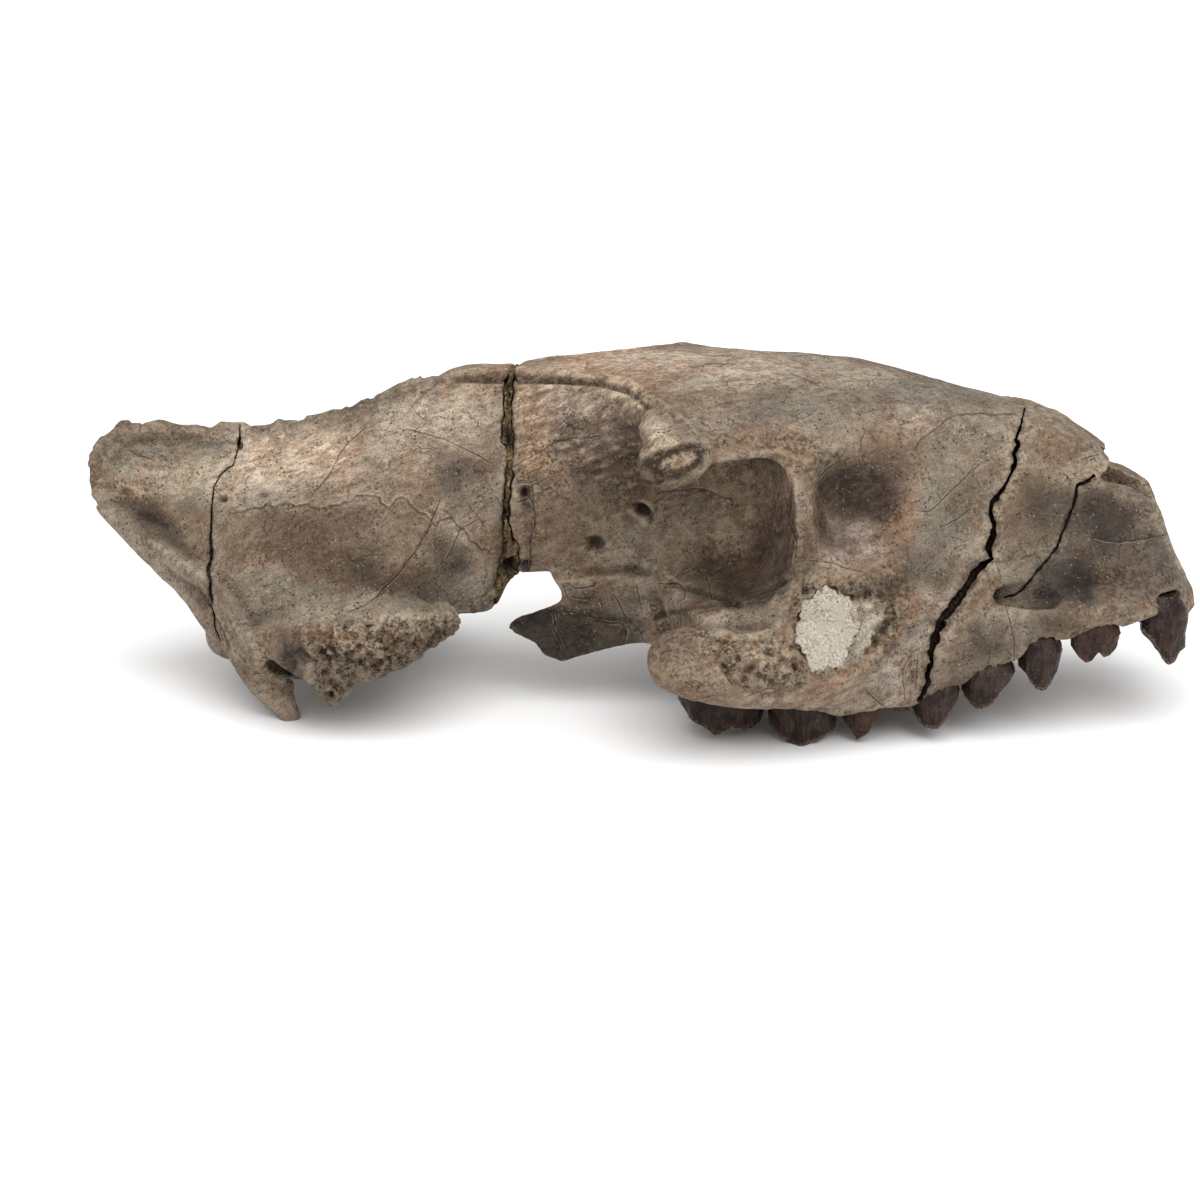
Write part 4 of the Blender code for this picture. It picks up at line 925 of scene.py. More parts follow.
LIP_CRACK = (
    (1095, 475, 3.5), (1085, 482, 2.9), (1077, 485, 2.9), (1076, 495, 3.2), (1073, 508, 2.7),
    (1068, 520, 2.9), (1061, 536, 2.6), (1057, 548, 2.6), (1048, 559, 2.4), (1038, 570, 2.2),
    (1031, 580, 2.2), (1024, 588, 2.1), (1014, 595, 1.9), (1004, 598, 1.6))
CREST_CRACK = (
    (240, 424, 1), (239.6, 433, 1.6), (239, 442, 3), (237.5, 450, 1.3), (236.5, 455, 1.2),
    (233.5, 464, 1.2), (221, 474, 1.3), (216, 482, 1.3), (213, 491, 1.4), (212, 506, 1.4),
    (211, 523, 2), (211, 535, 2.6), (212, 547, 3.2), (211, 558, 4.5), (208, 567, 4.5), (210, 578, 3.2),
    (211, 594, 3.2), (213, 609, 2), (215, 625, 1.6), (221, 641, 1.3))


def sight_lines(points):
    """The ways of the sight lines through picture points."""
    points = np.array(points, float)
    ways = (-BACK * VIEW_FOCAL + np.outer(points[:, 0] - PICTURE_MIDDLE, RIGHT)
            + np.outer(PICTURE_MIDDLE - points[:, 1], UP))
    return ways / np.linalg.norm(ways, axis=1)[:, None]


def jagged(line, step=1.8, swing=1.0, seed=0):
    """The line in short steps, pushed to and fro a little."""
    line = np.array(line, float)
    lengths = np.hypot(*np.diff(line[:, :2], axis=0).T)
    marks = np.append(0, lengths.cumsum())
    spots = np.linspace(0, marks[-1], max(4, int(marks[-1] / step)))
    fine = np.stack([np.interp(spots, marks, line[:, k]) for k in range(line.shape[1])], axis=1)
    shake = np.stack((spots, spots * 0, spots * 0), axis=1)
    for k in range(2):
        coarse, small = noise(shake, 6.0, seed + k), noise(shake, 2.6, seed + k + 9)
        fine[:, k] += swing * (coarse + 0.6 * small) / 1.3
    fine[:, 2] *= 1.0 + 0.45 * noise(shake, 4.5, seed + 5)
    return fine


def crack_cutter(obj, line, depth, seed):
    """The body that cuts a crack, and its line with how far from the camera the bone is there."""
    tree = BVHTree.FromPolygons([v.co for v in obj.data.vertices],
                                [p.vertices for p in obj.data.polygons])
    line = jagged(line, seed=seed)
    across = np.gradient(line[:, :2], axis=0)
    across = np.stack((-across[:, 1], across[:, 0]), axis=1)
    across /= np.linalg.norm(across, axis=1)[:, None]
    hits = []
    for way in sight_lines(line):
        place = tree.ray_cast(Vector(VIEW_FROM) * MM, Vector(way))[0]
        hits.append(np.nan if place is None else (place - Vector(VIEW_FROM) * MM).length / MM)
    hits = np.array(hits)
    known = ~np.isnan(hits)
    hits = np.interp(np.arange(len(hits)), np.arange(len(hits))[known], hits[known])
    rings = []
    for point, side, width, hit in zip(line[:, :2], across, line[:, 2], hits):
        ring = []
        for sign, near, share in ((-1, -3.0, 1.15), (-1, 0.8, 0.92), (-1, depth, 0.45),
                                  (1, depth, 0.45), (1, 0.8, 0.92), (1, -3.0, 1.15)):
            way = sight_lines([point + side * sign * width * share / 2])[0]
            ring.append(VIEW_FROM + way * (hit + near))
        rings.append(ring)
    return loft("crack", rings), (line, hits)


def cracked(obj, cracks):
    """Cuts each crack (line, depth, seed) and gives where they went."""
    traces = []
    for crack in cracks:
        cutter, trace = crack_cutter(obj, *crack)
        cut(obj, [cutter])
        traces.append(trace)
    return traces


FACE_CUTS = cracked(face, ((NOSE_CRACK, 7.0, 1), (LIP_CRACK, 2.5, 2)))
BRAINCASE_CUTS = cracked(braincase, ((CREST_CRACK, 2.2, 3),))


FACE_TRIANGLES, BRAINCASE_TRIANGLES = 190000, 170000


def lightened(obj, triangles):
    """Takes the faces down to a number of triangles and shades them smooth."""
    count = sum(len(p.vertices) - 2 for p in obj.data.polygons)
    if count > triangles:
        decimate = obj.modifiers.new("lighter", "DECIMATE")
        decimate.ratio = triangles / count
        applied(obj)
    shade_smooth(obj)
    obj.data.set_sharp_from_angle(angle=math.radians(60))


lightened(face, FACE_TRIANGLES)
lightened(braincase, BRAINCASE_TRIANGLES)

# The colours of the bone, as amounts kept on its points: stains in areas drawn in the picture plane,
# with ragged edges, worn ridges, painted shade in hollows, and the distance to every fine crack and seam.
def keep(obj, name, values):
    """Keeps three amounts on each point under a name that the material reads."""
    layer = obj.data.attributes.new(name, "FLOAT_VECTOR", "POINT")
    layer.data.foreach_set("vector", np.stack(values, axis=1).astype(np.float32).ravel())


# Stain, amount, soft edge in picture points, sides, and outline.
STAINS = (
    ("green", 0.8, 26, 1, ((92, 445), (150, 436), (238, 440), (236, 470), (215, 500), (200, 512),
        (150, 505), (105, 475))),
    ("brown", 0.7, 18, 1, ((112, 500), (160, 508), (214, 512), (210, 562), (180, 560), (135, 528))),
    ("orange", 0.35, 14, 1, ((95, 478), (125, 474), (165, 496), (180, 520), (150, 520), (110, 500))),
    ("pale", 0.55, 36, 1, ((232, 446), (285, 428), (350, 440), (340, 484), (300, 500), (240, 500))),
    ("green", 0.55, 30, 1, ((250, 424), (350, 398), (440, 380), (500, 392), (498, 440), (430, 448),
        (330, 440))),
    ("brown", 0.5, 26, 1, ((360, 460), (430, 440), (500, 450), (500, 545), (440, 510), (380, 490))),
    ("purple", 0.35, 26, 1, ((440, 455), (500, 455), (500, 520), (455, 500))),
    ("brown", 0.85, 18, 1, ((216, 520), (262, 508), (330, 508), (365, 500), (398, 500), (440, 526),
        (470, 552), (440, 590), (340, 590), (300, 560), (232, 556))),
    ("green", 0.5, 26, 1, ((420, 540), (480, 560), (492, 600), (440, 612), (410, 600))),
    ("green", 0.9, 18, 1, ((236, 566), (300, 582), (400, 590), (460, 596), (430, 624), (340, 632),
        (270, 626), (240, 600))),
    ("pale", 0.35, 20, 1, ((240, 590), (300, 600), (420, 606), (430, 622), (330, 630), (262, 622))),
    ("orange", 0.5, 14, 1, ((262, 626), (300, 632), (300, 660), (285, 680), (262, 668), (250, 640))),
    ("brown", 0.6, 16, 1, ((180, 570), (210, 590), (240, 640), (262, 690), (230, 672), (205, 620))),
    ("brown", 0.8, 16, 1, ((518, 380), (600, 384), (650, 410), (650, 500), (600, 560), (530, 556))),
    ("purple", 0.75, 24, 1, ((536, 392), (590, 388), (632, 404), (636, 446), (590, 470), (550, 450))),
    ("pale", 0.4, 20, 1, ((545, 394), (600, 390), (610, 412), (560, 424))),
    ("green", 0.5, 30, 1, ((560, 520), (640, 495), (740, 480), (770, 520), (740, 590), (600, 570))),
    ("brown", 0.55, 20, 1, ((640, 480), (790, 460), (800, 590), (700, 600), (640, 560))),
    ("purple", 0.85, 18, 1, ((764, 500), (797, 500), (800, 580), (770, 596), (752, 560))),
    ("orange", 0.6, 8, 1, ((449, 364), (520, 362), (600, 366), (650, 380), (690, 410), (672, 418),
        (640, 394), (600, 380), (520, 377), (450, 378))),
    ("brown", 0.5, 10, 1, ((640, 385), (672, 405), (690, 430), (664, 424), (644, 402))),
    ("pale", 0.7, 12, 2, ((636, 420), (662, 418), (672, 436), (655, 446), (636, 440))),
    ("green", 0.6, 40, 1, ((690, 360), (800, 350), (960, 380), (1010, 400), (900, 420), (800, 420),
        (700, 400))),
    ("pale", 0.25, 40, 1, ((540, 356), (680, 340), (760, 344), (700, 366), (600, 366))),
    ("orange", 0.42, 18, 1, ((700, 432), (790, 432), (830, 440), (812, 458), (780, 452), (710, 460))),
    ("pale", 0.4, 24, 1, ((790, 396), (870, 396), (880, 430), (820, 440), (760, 430))),
    ("orange", 0.6, 10, 1, ((800, 455), (822, 450), (824, 520), (826, 570), (806, 590), (798, 560),
        (806, 520))),
    ("purple", 0.75, 22, 1, ((822, 470), (900, 450), (908, 500), (880, 524), (826, 512))),
    ("brown", 0.5, 20, 1, ((830, 448), (905, 430), (920, 500), (880, 470), (826, 474))),
    # the lower part of the pit before the eye: a lilac tint and painted light
    ("lilac_and_light", 0.85, 16, 1, ((822, 520), (870, 524), (890, 545), (864, 562), (832, 562))),
    ("orange", 0.55, 18, 1, ((895, 440), (930, 420), (920, 520), (905, 560), (880, 560))),
    ("green", 0.6, 24, 1, ((935, 420), (1014, 420), (1010, 480), (985, 500), (960, 540), (905, 560),
        (925, 500))),
    ("brown", 0.35, 24, 1, ((1020, 410), (1100, 440), (1078, 500), (1040, 560), (1000, 560),
        (1010, 480))),
    ("purple", 0.8, 26, 1, ((1085, 490), (1140, 486), (1190, 600), (1100, 612), (1010, 600),
        (1050, 560))),
    ("brown", 0.5, 20, 1, ((1080, 480), (1150, 490), (1195, 610), (1120, 630), (1060, 580))),
    ("lilac_and_light", 0.5, 16, 1, ((870, 672), (935, 605), (985, 560), (960, 606), (930, 660), (880, 706))),
    ("green", 0.35, 20, 1, ((950, 640), (1000, 600), (1000, 640), (970, 660))),
    ("orange", 0.35, 20, 1, ((930, 640), (1000, 640), (990, 690), (930, 700))),
    ("orange", 0.35, 14, 1, ((640, 610), (700, 636), (780, 640), (850, 660), (880, 690), (760, 712),
        (680, 706), (650, 670))),
    ("pale", 0.6, 12, 1, ((712, 636), (780, 640), (815, 660), (808, 692), (756, 694), (718, 676))),
    ("orange", 0.85, 10, 1, ((800, 600), (815, 572), (850, 566), (905, 580), (930, 600), (900, 640),
        (860, 676), (820, 690), (788, 660), (776, 640))),
    ("pale", 0.5, 14, 1, ((805, 560), (850, 564), (890, 600), (880, 650), (830, 680), (800, 640))),
    ("pale", 0.4, 8, 1, ((884, 660), (916, 650), (908, 706), (886, 706))),
    ("brown", 1.0, 14, 0, ((508, 600), (600, 600), (640, 650), (560, 670), (505, 635))),
    ("brown", 0.5, 12, 1, ((1046, 404), (1072, 412), (1066, 424), (1040, 412))),
)

# Fine cracks of the bone: half width in tenths of a millimetre, swing, sides, and line in the picture.
HAIRLINES = (
    (0.66, 1.0, 1, ((327, 478), (313, 493))), (0.55, 1.2, 1, ((364, 428), (345, 446), (327, 478))),
    (0.88, 1.5, 1, ((440, 500), (426, 535), (404, 566), (378, 596), (366, 604), (348, 613))),
    (0.55, 1.2, 1, ((400, 428), (428, 434), (453, 443), (470, 452), (490, 462))),
    (0.66, 0.8, 1, ((128, 450), (140, 456), (153, 460))),
    (0.55, 1.5, 1, ((478, 520), (462, 528), (446, 560))),
    (0.77, 1.5, 1, ((508, 470), (560, 440), (600, 436))), (0.55, 1.5, 0, ((517, 478), (545, 466))),
    (1.1, 1.8, 0, ((526, 494), (533, 505), (536, 520), (531, 540), (529, 569))),
    (1.3, 0.6, 0, ((563, 586), (569, 583), (577, 589), (586, 587), (595, 586), (596, 582), (590, 580))),
    (0.9, 0.6, 0, ((571, 597), (580, 598), (592, 599))), (0.6, 0.8, 0, ((564, 590), (568, 599))),
    (0.9, 0.8, 0, ((561, 610), (576, 613), (586, 618), (593, 621), (601, 621), (610, 623), (620, 623),
        (626, 628), (626, 636), (623, 645))),
    (0.9, 0.8, 1, ((614, 596), (621, 606), (626, 617), (633, 624), (640, 631), (643, 640))),
    (0.6, 0.8, 1, ((637, 584), (639, 599), (641, 606))), (0.5, 0.8, 1, ((600, 596), (603, 610))),
    (0.7, 0.8, 0, ((554, 630), (560, 642), (564, 650))), (0.6, 0.6, 0, ((556, 627), (553, 614))),
    (0.8, 0.8, 1, ((658, 583), (668, 584), (679, 584), (686, 592), (684, 600))),
    (0.5, 0.6, 1, ((650, 604), (656, 606), (659, 609), (653, 612), (650, 604))),
    (0.9, 0.8, 0, ((516, 484), (532, 482), (534, 500), (535, 520))),
    (0.6, 0.8, 0, ((516, 450), (530, 444), (544, 450), (553, 462), (548, 478), (534, 484))),
    (0.88, 1.0, 1, ((792, 487), (789, 521), (797, 540), (794, 562))),
    (0.88, 1.0, 1, ((768, 594), (778, 589), (788, 580))), (0.55, 1.0, 1, ((706, 574), (712, 600))),
    (0.55, 1.2, 1, ((980, 464), (962, 480), (942, 500), (930, 512), (918, 510))),
    (0.55, 1.2, 1, ((972, 508), (960, 517), (939, 529))),
    (0.99, 1.0, 1, ((820, 476), (836, 462), (852, 458))),
    (0.88, 1.4, 1, ((810, 561), (830, 562), (846, 568), (862, 572))),
    (0.77, 1.4, 1, ((1006, 606), (1014, 640), (1014, 660))),
    (0.77, 1.2, 1, ((910, 656), (902, 672), (905, 700))), (0.66, 1.0, 1, ((918, 655), (916, 690))),
    (0.66, 1.0, 1, ((866, 690), (880, 704), (900, 716))), (0.55, 1.0, 1, ((1062, 472), (1075, 484))),
    (0.66, 1.0, 1, ((1080, 460), (1098, 454))), (0.88, 1.0, 0, ((716, 662), (722, 648), (740, 640))),
    (0.88, 1.0, 0, ((718, 664), (732, 686))), (0.99, 1.2, 0, ((748, 696), (770, 688), (795, 692))),
    (0.66, 1.0, 1, ((684, 346), (660, 352), (630, 358))),
)
# Rough crumbly bone besides the breaks: amount, sides, and outline.
RAGGED = (
    (0.7, 2, ((641, 487), (641, 464), (650, 452), (682, 444), (700, 443), (706, 452), (702, 464),
        (690, 473), (668, 484))),
    (0.5, 0, ((528, 432), (548, 444), (568, 468), (574, 500), (564, 506), (556, 482), (540, 462),
        (524, 448))),
    (0.45, 0, ((509, 378), (524, 380), (526, 420), (516, 440), (509, 436))),
    (0.5, 1, ((652, 626), (690, 617), (718, 634), (714, 660), (722, 688), (700, 692), (664, 674),
        (649, 652))),
    (0.4, 1, ((640, 383), (672, 406), (706, 432), (700, 440), (664, 424), (640, 400))),
    (0.35, 1, ((706, 432), (800, 434), (822, 446), (808, 458), (730, 448), (706, 446))),
    (0.4, 1, ((802, 462), (820, 456), (824, 520), (826, 572), (806, 604), (786, 616), (800, 570),
        (810, 520))),
    (0.5, 1, ((596, 480), (636, 470), (640, 500), (604, 506))),
    (0.45, 1, ((700, 540), (730, 536), (738, 556), (706, 566))),
    (0.6, 1, ((842, 574), (905, 572), (910, 600), (900, 640), (884, 656), (890, 610), (850, 596))),
    (0.35, 1, ((90, 440), (120, 424), (240, 424), (238, 438), (130, 440), (96, 470))),
    (0.4, 1, ((262, 626), (304, 630), (304, 660), (282, 688), (262, 668), (248, 640))),
    (0.4, 1, ((900, 650), (926, 650), (926, 708), (896, 712))),
    (0.45, 1, ((900, 702), (930, 692), (960, 672), (1000, 656), (1030, 638), (1060, 630), (1120, 622),
        (1122, 636), (1070, 646), (1040, 652), (1010, 674), (960, 698), (930, 716), (900, 722))),
    (0.4, 1, ((1090, 560), (1180, 572), (1198, 612), (1180, 620), (1150, 612), (1092, 590))),
    (0.4, 1, ((506, 606), (560, 604), (600, 616), (590, 660), (540, 660), (504, 636))),
)
# Pale seams between the bones, in the same form as the fine cracks.
SEAMS = (
    (1.3, 3.2, 1, ((230, 511), (260, 505), (285, 502), (308, 502), (322, 507), (336, 504), (348, 500),
        (356, 494), (363, 493), (375, 494), (387, 505), (398, 494), (410, 498), (415, 507), (430, 514),
        (436, 522), (452, 515), (462, 522), (467, 531), (480, 546), (494, 552))),
    (0.9, 1.5, 1, ((690, 366), (697, 364), (715, 361), (736, 363))),
    (0.7, 1.0, 1, ((790, 372), (806, 377), (822, 385))),
    (1.0, 2.0, 1, ((912, 448), (922, 436), (940, 422), (956, 412), (985, 412), (1019, 412))),
    (0.8, 1.0, 0, ((588, 356), (590, 362), (588, 369))),
    (0.9, 1.5, 1, ((660, 490), (700, 486), (738, 500))),
    (0.5, 1.0, 1, ((1170, 536), (1150, 540), (1120, 544), (1092, 540))),
    (0.7, 1.2, 1, ((517, 500), (535, 493), (560, 480))),
    (0.7, 1.5, 1, ((566, 424), (590, 416), (612, 400))),
)

# Where the bone is darker: painted shade in dents, grooves, holes, the eye socket, the top of the pit
# before it and the stumps' hollows, and dirt: amount (taken away where it is below 0), soft edge,
# sides, outline.
DIRT_AND_PAINTED_SHADE = (
    (0.9, 5, 2, ((641, 487), (641, 464), (650, 452), (682, 444), (700, 443), (706, 452), (702, 464),
        (690, 473), (668, 484))),
    (-1.0, 4, 2, ((660, 467), (664, 459), (682, 451), (695, 450), (698, 458), (684, 468), (666, 471))),
    (0.6, 6, 1, ((584, 536), (600, 533), (606, 544), (602, 553), (589, 552), (583, 544))),
    (0.7, 5, 0, ((517, 488), (531, 484), (533, 497), (529, 506), (519, 502))),
    (0.9, 4, 1, ((634, 503), (644, 504), (654, 516), (652, 521), (640, 517))),
    (0.6, 5, 0, ((526, 492), (533, 505), (536, 524), (533, 545), (530, 568), (523, 560), (526, 530),
        (522, 505))),
    (0.9, 4, 0, ((519, 562), (532, 556), (528, 574), (518, 578))),
    (0.8, 4, 1, ((450, 375), (520, 375), (590, 378), (626, 386), (654, 408), (650, 411), (622, 392),
        (590, 384), (520, 381), (450, 380))),
    (0.5, 12, 1, ((764, 520), (790, 500), (800, 540), (796, 590), (770, 602), (772, 560))),
    (0.6, 5, 1, ((655, 622), (662, 612), (700, 604), (740, 602), (742, 608), (700, 612), (664, 620))),
    (0.6, 5, 1, ((669, 580), (700, 588), (742, 602), (740, 608), (700, 596), (668, 586))),
    (0.55, 8, 1, ((806, 470), (822, 452), (840, 450), (824, 472), (822, 500), (812, 500))),
    (0.35, 18, 1, ((830, 486), (880, 470), (900, 490), (880, 516), (836, 514))),
    (0.8, 6, 0, ((518, 612), (536, 611), (554, 610), (546, 624), (530, 624), (520, 630), (510, 622))),
    (0.9, 3, 0, ((592, 619), (601, 620), (600, 623), (593, 622))),
    (0.9, 3, 0, ((584, 597), (593, 597), (593, 601), (586, 600))),
    (0.5, 5, 1, ((818, 486), (823, 466), (835, 452), (847, 450), (834, 468), (829, 488), (832, 508),
        (824, 503))),
    (0.32, 12, 1, ((826, 478), (846, 468), (866, 460), (884, 472), (886, 492), (870, 514), (846, 514),
        (830, 500))),
    (0.5, 12, 0, ((508, 616), (540, 606), (580, 612), (600, 640), (560, 664), (530, 646))),
    (0.6, 6, 1, ((288, 646), (302, 648), (316, 662), (304, 664))),
    (0.7, 8, 1, ((280, 650), (300, 648), (302, 684), (286, 686), (278, 668))),
    (0.5, 8, 1, ((132, 505), (165, 515), (168, 530), (140, 522))),
    (0.4, 10, 1, ((120, 440), (170, 432), (238, 438), (236, 448), (160, 444), (118, 456))),
    (0.4, 12, 1, ((250, 424), (340, 400), (440, 372), (450, 382), (350, 412), (254, 436))),
    (0.4, 10, 1, ((300, 630), (440, 622), (430, 650), (320, 660))),
    (0.5, 8, 1, ((862, 668), (930, 604), (934, 612), (880, 664))),
    (0.45, 8, 1, ((872, 570), (905, 576), (912, 596), (880, 592))),
    (0.5, 6, 1, ((984, 594), (1008, 590), (1018, 602), (996, 612))),
)
# Where the bone is lighter or darker: partly its own tone, partly painted light and shade, as on the
# lit roof, the lit lower part of the pit before the eye and in the eye socket: share, soft edge,
# sides, outline.
TONE_AND_PAINTED_LIGHT = (
    (0.30, 22, 1, ((449, 362), (560, 350), (700, 340), (860, 352), (900, 380), (720, 392), (600, 384),
        (520, 366))),
    (0.22, 14, 1, ((326, 480), (352, 478), (362, 492), (340, 500))),
    (-0.28, 10, 1, ((804, 520), (822, 520), (818, 572), (800, 590))),
    (-0.34, 14, 1, ((724, 588), (774, 590), (770, 616), (730, 616))),
    (-0.18, 20, 1, ((906, 436), (950, 430), (944, 470), (910, 480))),
    (-0.20, 20, 1, ((890, 540), (950, 530), (950, 590), (900, 590))),
    (-0.20, 18, 1, ((920, 660), (1000, 640), (1010, 670), (930, 710))),
    (-0.22, 12, 1, ((1030, 606), (1090, 606), (1080, 632), (1030, 636))),
    (0.40, 24, 1, ((120, 470), (180, 462), (236, 462), (232, 500), (190, 500), (140, 492))),
    (-0.4, 10, 1, ((108, 500), (150, 500), (176, 520), (190, 560), (150, 540))),
    (0.25, 20, 1, ((135, 470), (205, 466), (218, 492), (150, 496))),
    (0.36, 24, 1, ((225, 436), (290, 426), (360, 430), (356, 480), (240, 480))),
    (0.28, 20, 1, ((400, 385), (494, 375), (494, 424), (420, 425))),
    (-0.4, 14, 1, ((428, 532), (470, 545), (466, 574), (436, 566))),
    (0.3, 14, 1, ((212, 456), (240, 452), (240, 486), (214, 490))),
    (0.24, 12, 0, ((526, 440), (552, 440), (558, 474), (526, 476))),
    (-0.22, 14, 1, ((350, 556), (380, 556), (380, 584), (350, 584))),
    (-0.3, 12, 1, ((1040, 562), (1086, 562), (1086, 598), (1040, 598))),
    (-0.28, 14, 1, ((945, 556), (976, 556), (970, 584), (944, 584))),
    (-0.15, 14, 1, ((926, 664), (956, 664), (956, 700), (926, 700))),
    (0.3, 8, 1, ((806, 536), (822, 536), (822, 566), (806, 566))),
    (-0.25, 10, 1, ((846, 644), (862, 640), (858, 660), (846, 660))),
    (-0.22, 16, 1, ((436, 470), (466, 470), (466, 494), (436, 494))),
    (0.22, 24, 1, ((380, 390), (420, 384), (430, 480), (380, 484))),
    (0.22, 24, 1, ((700, 350), (810, 350), (740, 410), (704, 404))),
    (0.3, 12, 1, ((630, 398), (650, 400), (652, 420), (630, 420))),
    (0.3, 12, 0, ((516, 388), (546, 388), (546, 412), (518, 414))),
    (0.25, 14, 1, ((744, 478), (790, 478), (790, 530), (744, 510))),
    (-0.2, 12, 0, ((570, 592), (640, 596), (640, 640), (560, 660), (512, 640), (530, 612))),
    (-0.25, 26, 1, ((270, 640), (330, 660), (420, 640), (470, 600), (500, 600), (420, 680), (330, 710),
        (290, 690))),
    (-0.3, 14, 1, ((205, 580), (240, 590), (255, 640), (225, 620))),
    (-0.36, 10, 1, ((280, 628), (300, 632), (304, 650), (284, 660))),
    (0.3, 12, 1, ((320, 628), (380, 624), (380, 650), (330, 655))),
    (0.4, 14, 0, ((512, 385), (552, 386), (550, 416), (514, 422))),
    (-0.28, 14, 1, ((570, 462), (634, 456), (634, 500), (580, 500))),
    (0.36, 10, 1, ((560, 352), (700, 343), (760, 345), (760, 374), (700, 374), (560, 373))),
    (0.3, 20, 1, ((714, 470), (788, 470), (792, 550), (714, 550))),
    (-0.34, 16, 1, ((690, 576), (770, 576), (770, 604), (690, 604))),
    (-0.4, 10, 1, ((806, 536), (822, 536), (822, 566), (804, 570))),
    (0.3, 14, 1, ((836, 528), (872, 528), (876, 552), (840, 556))),
    (0.24, 20, 1, ((880, 404), (930, 404), (930, 436), (880, 436))),
    (-0.24, 18, 1, ((904, 548), (940, 548), (940, 580), (904, 580))),
    (-0.26, 20, 1, ((1030, 484), (1130, 500), (1130, 540), (1030, 530))),
    (-0.15, 14, 1, ((970, 624), (1020, 620), (1020, 656), (970, 660))),
    (0.3, 12, 1, ((730, 640), (790, 640), (790, 668), (730, 668))),
    (0.22, 30, 1, ((250, 440), (350, 420), (480, 390), (498, 400), (480, 450), (380, 455), (330, 480),
        (250, 490))),
    (-0.20, 20, 1, ((420, 466), (470, 462), (480, 490), (440, 500))),
    (-0.24, 26, 1, ((270, 515), (360, 508), (390, 540), (380, 590), (300, 580), (265, 550))),
    (-0.22, 22, 1, ((380, 580), (430, 560), (470, 560), (440, 612), (390, 618))),
    (0.32, 12, 1, ((300, 628), (380, 618), (470, 600), (460, 622), (360, 652), (306, 650))),
    (0.36, 16, 1, ((519, 380), (640, 384), (650, 410), (560, 424), (548, 470), (524, 470))),
    (0.30, 8, 2, ((644, 440), (660, 436), (690, 444), (700, 460), (660, 470), (644, 462))),
    (-0.20, 20, 0, ((570, 586), (640, 580), (640, 640), (590, 620))),
    (-0.48, 10, 0, ((506, 606), (560, 604), (650, 624), (640, 660), (560, 668), (504, 636))),
    (0.24, 10, 2, ((636, 416), (668, 418), (672, 440), (640, 444))),
    (-0.25, 40, 1, ((720, 392), (840, 392), (1010, 392), (1014, 402), (900, 412), (830, 436),
        (720, 420))),
    (0.24, 16, 1, ((710, 462), (790, 462), (798, 560), (760, 590), (712, 560))),
    (0.42, 14, 1, ((824, 520), (880, 524), (886, 548), (856, 562), (834, 562))),
    (-0.22, 16, 1, ((870, 450), (908, 450), (906, 510), (880, 510))),
    (-0.24, 26, 1, ((940, 480), (1000, 470), (1000, 500), (950, 540), (920, 530))),
    (-0.28, 24, 1, ((1020, 470), (1080, 490), (1140, 500), (1180, 590), (1080, 606), (1020, 600),
        (1000, 550))),
    (-0.24, 16, 1, ((1036, 560), (1090, 556), (1090, 608), (1040, 604))),
    (-0.20, 18, 1, ((960, 624), (1060, 610), (1080, 630), (1000, 664), (950, 690))),
    (-0.2, 12, 1, ((652, 625), (690, 628), (700, 650), (660, 660))),
    (0.16, 12, 0, ((806, 600), (880, 600), (870, 650), (820, 670))),
    (-0.36, 8, 1, ((842, 576), (900, 580), (896, 604), (868, 600), (846, 594))),
    (0.14, 14, 1, ((740, 700), (830, 696), (870, 674), (880, 690), (810, 716))),
)
# Where the pale sediment of the cheek clings to the bone beside its hole.
CHALKY = ((806, 616), (826, 592), (846, 600), (868, 602), (886, 614), (876, 632), (866, 648),
          (850, 662), (832, 668), (812, 652))

# The middle of the streaks that fan out at the back of the crest, the picture's scale at the skull,
# where the break stands, how close to a line its mark reaches and how strong a shade may get.
FAN_MIDDLE, POINTS_PER_MM = (262, 478), 4.75
BREAK_PLACE, LINE_REACH, MOST_SHADE = -25.3, 1.3, 0.6


def nearest_line(sight, lines, step, reach=LINE_REACH):
    """The distance in millimetres to the nearest line, with its sign by side, the line's half width
    there, and 1 close to it."""
    scale = VIEW_DISTANCE / VIEW_FOCAL
    best = np.full(len(sight.view), 1e3)
    away, width, close = (np.zeros(len(best)) for _ in range(3))
    for index, (half_width, swing, sides, line) in enumerate(lines):
        line = jagged([(*point, 1.0) for point in line], step, swing, index + 40)
        lows = line[:, :2].min(axis=0) - reach / scale
        highs = line[:, :2].max(axis=0) + reach / scale
        near = np.flatnonzero(np.all((sight.view > lows) & (sight.view < highs), axis=1)
                              & (sight.seen(sides) > 0.05))
        if not len(near):
            continue
        far, sign, passed = to_line(sight.view[near], line)
        far = far * scale
        nearer = (far < best[near]) & (far < reach)
        hit = near[nearer]
        best[hit] = far[nearer]
        away[hit] = (far * sign)[nearer]
        taper = ramp(np.minimum(passed, 1 - passed), 0.0, 0.12)[nearer]
        width[hit] = half_width / 10.0 * (0.35 + 0.65 * taper)
        alongside = (passed > 0.001) & (passed < 0.999)
        close[hit] = (alongside * ramp(-far, -reach, -reach + 0.3))[nearer]
    return away, width, close


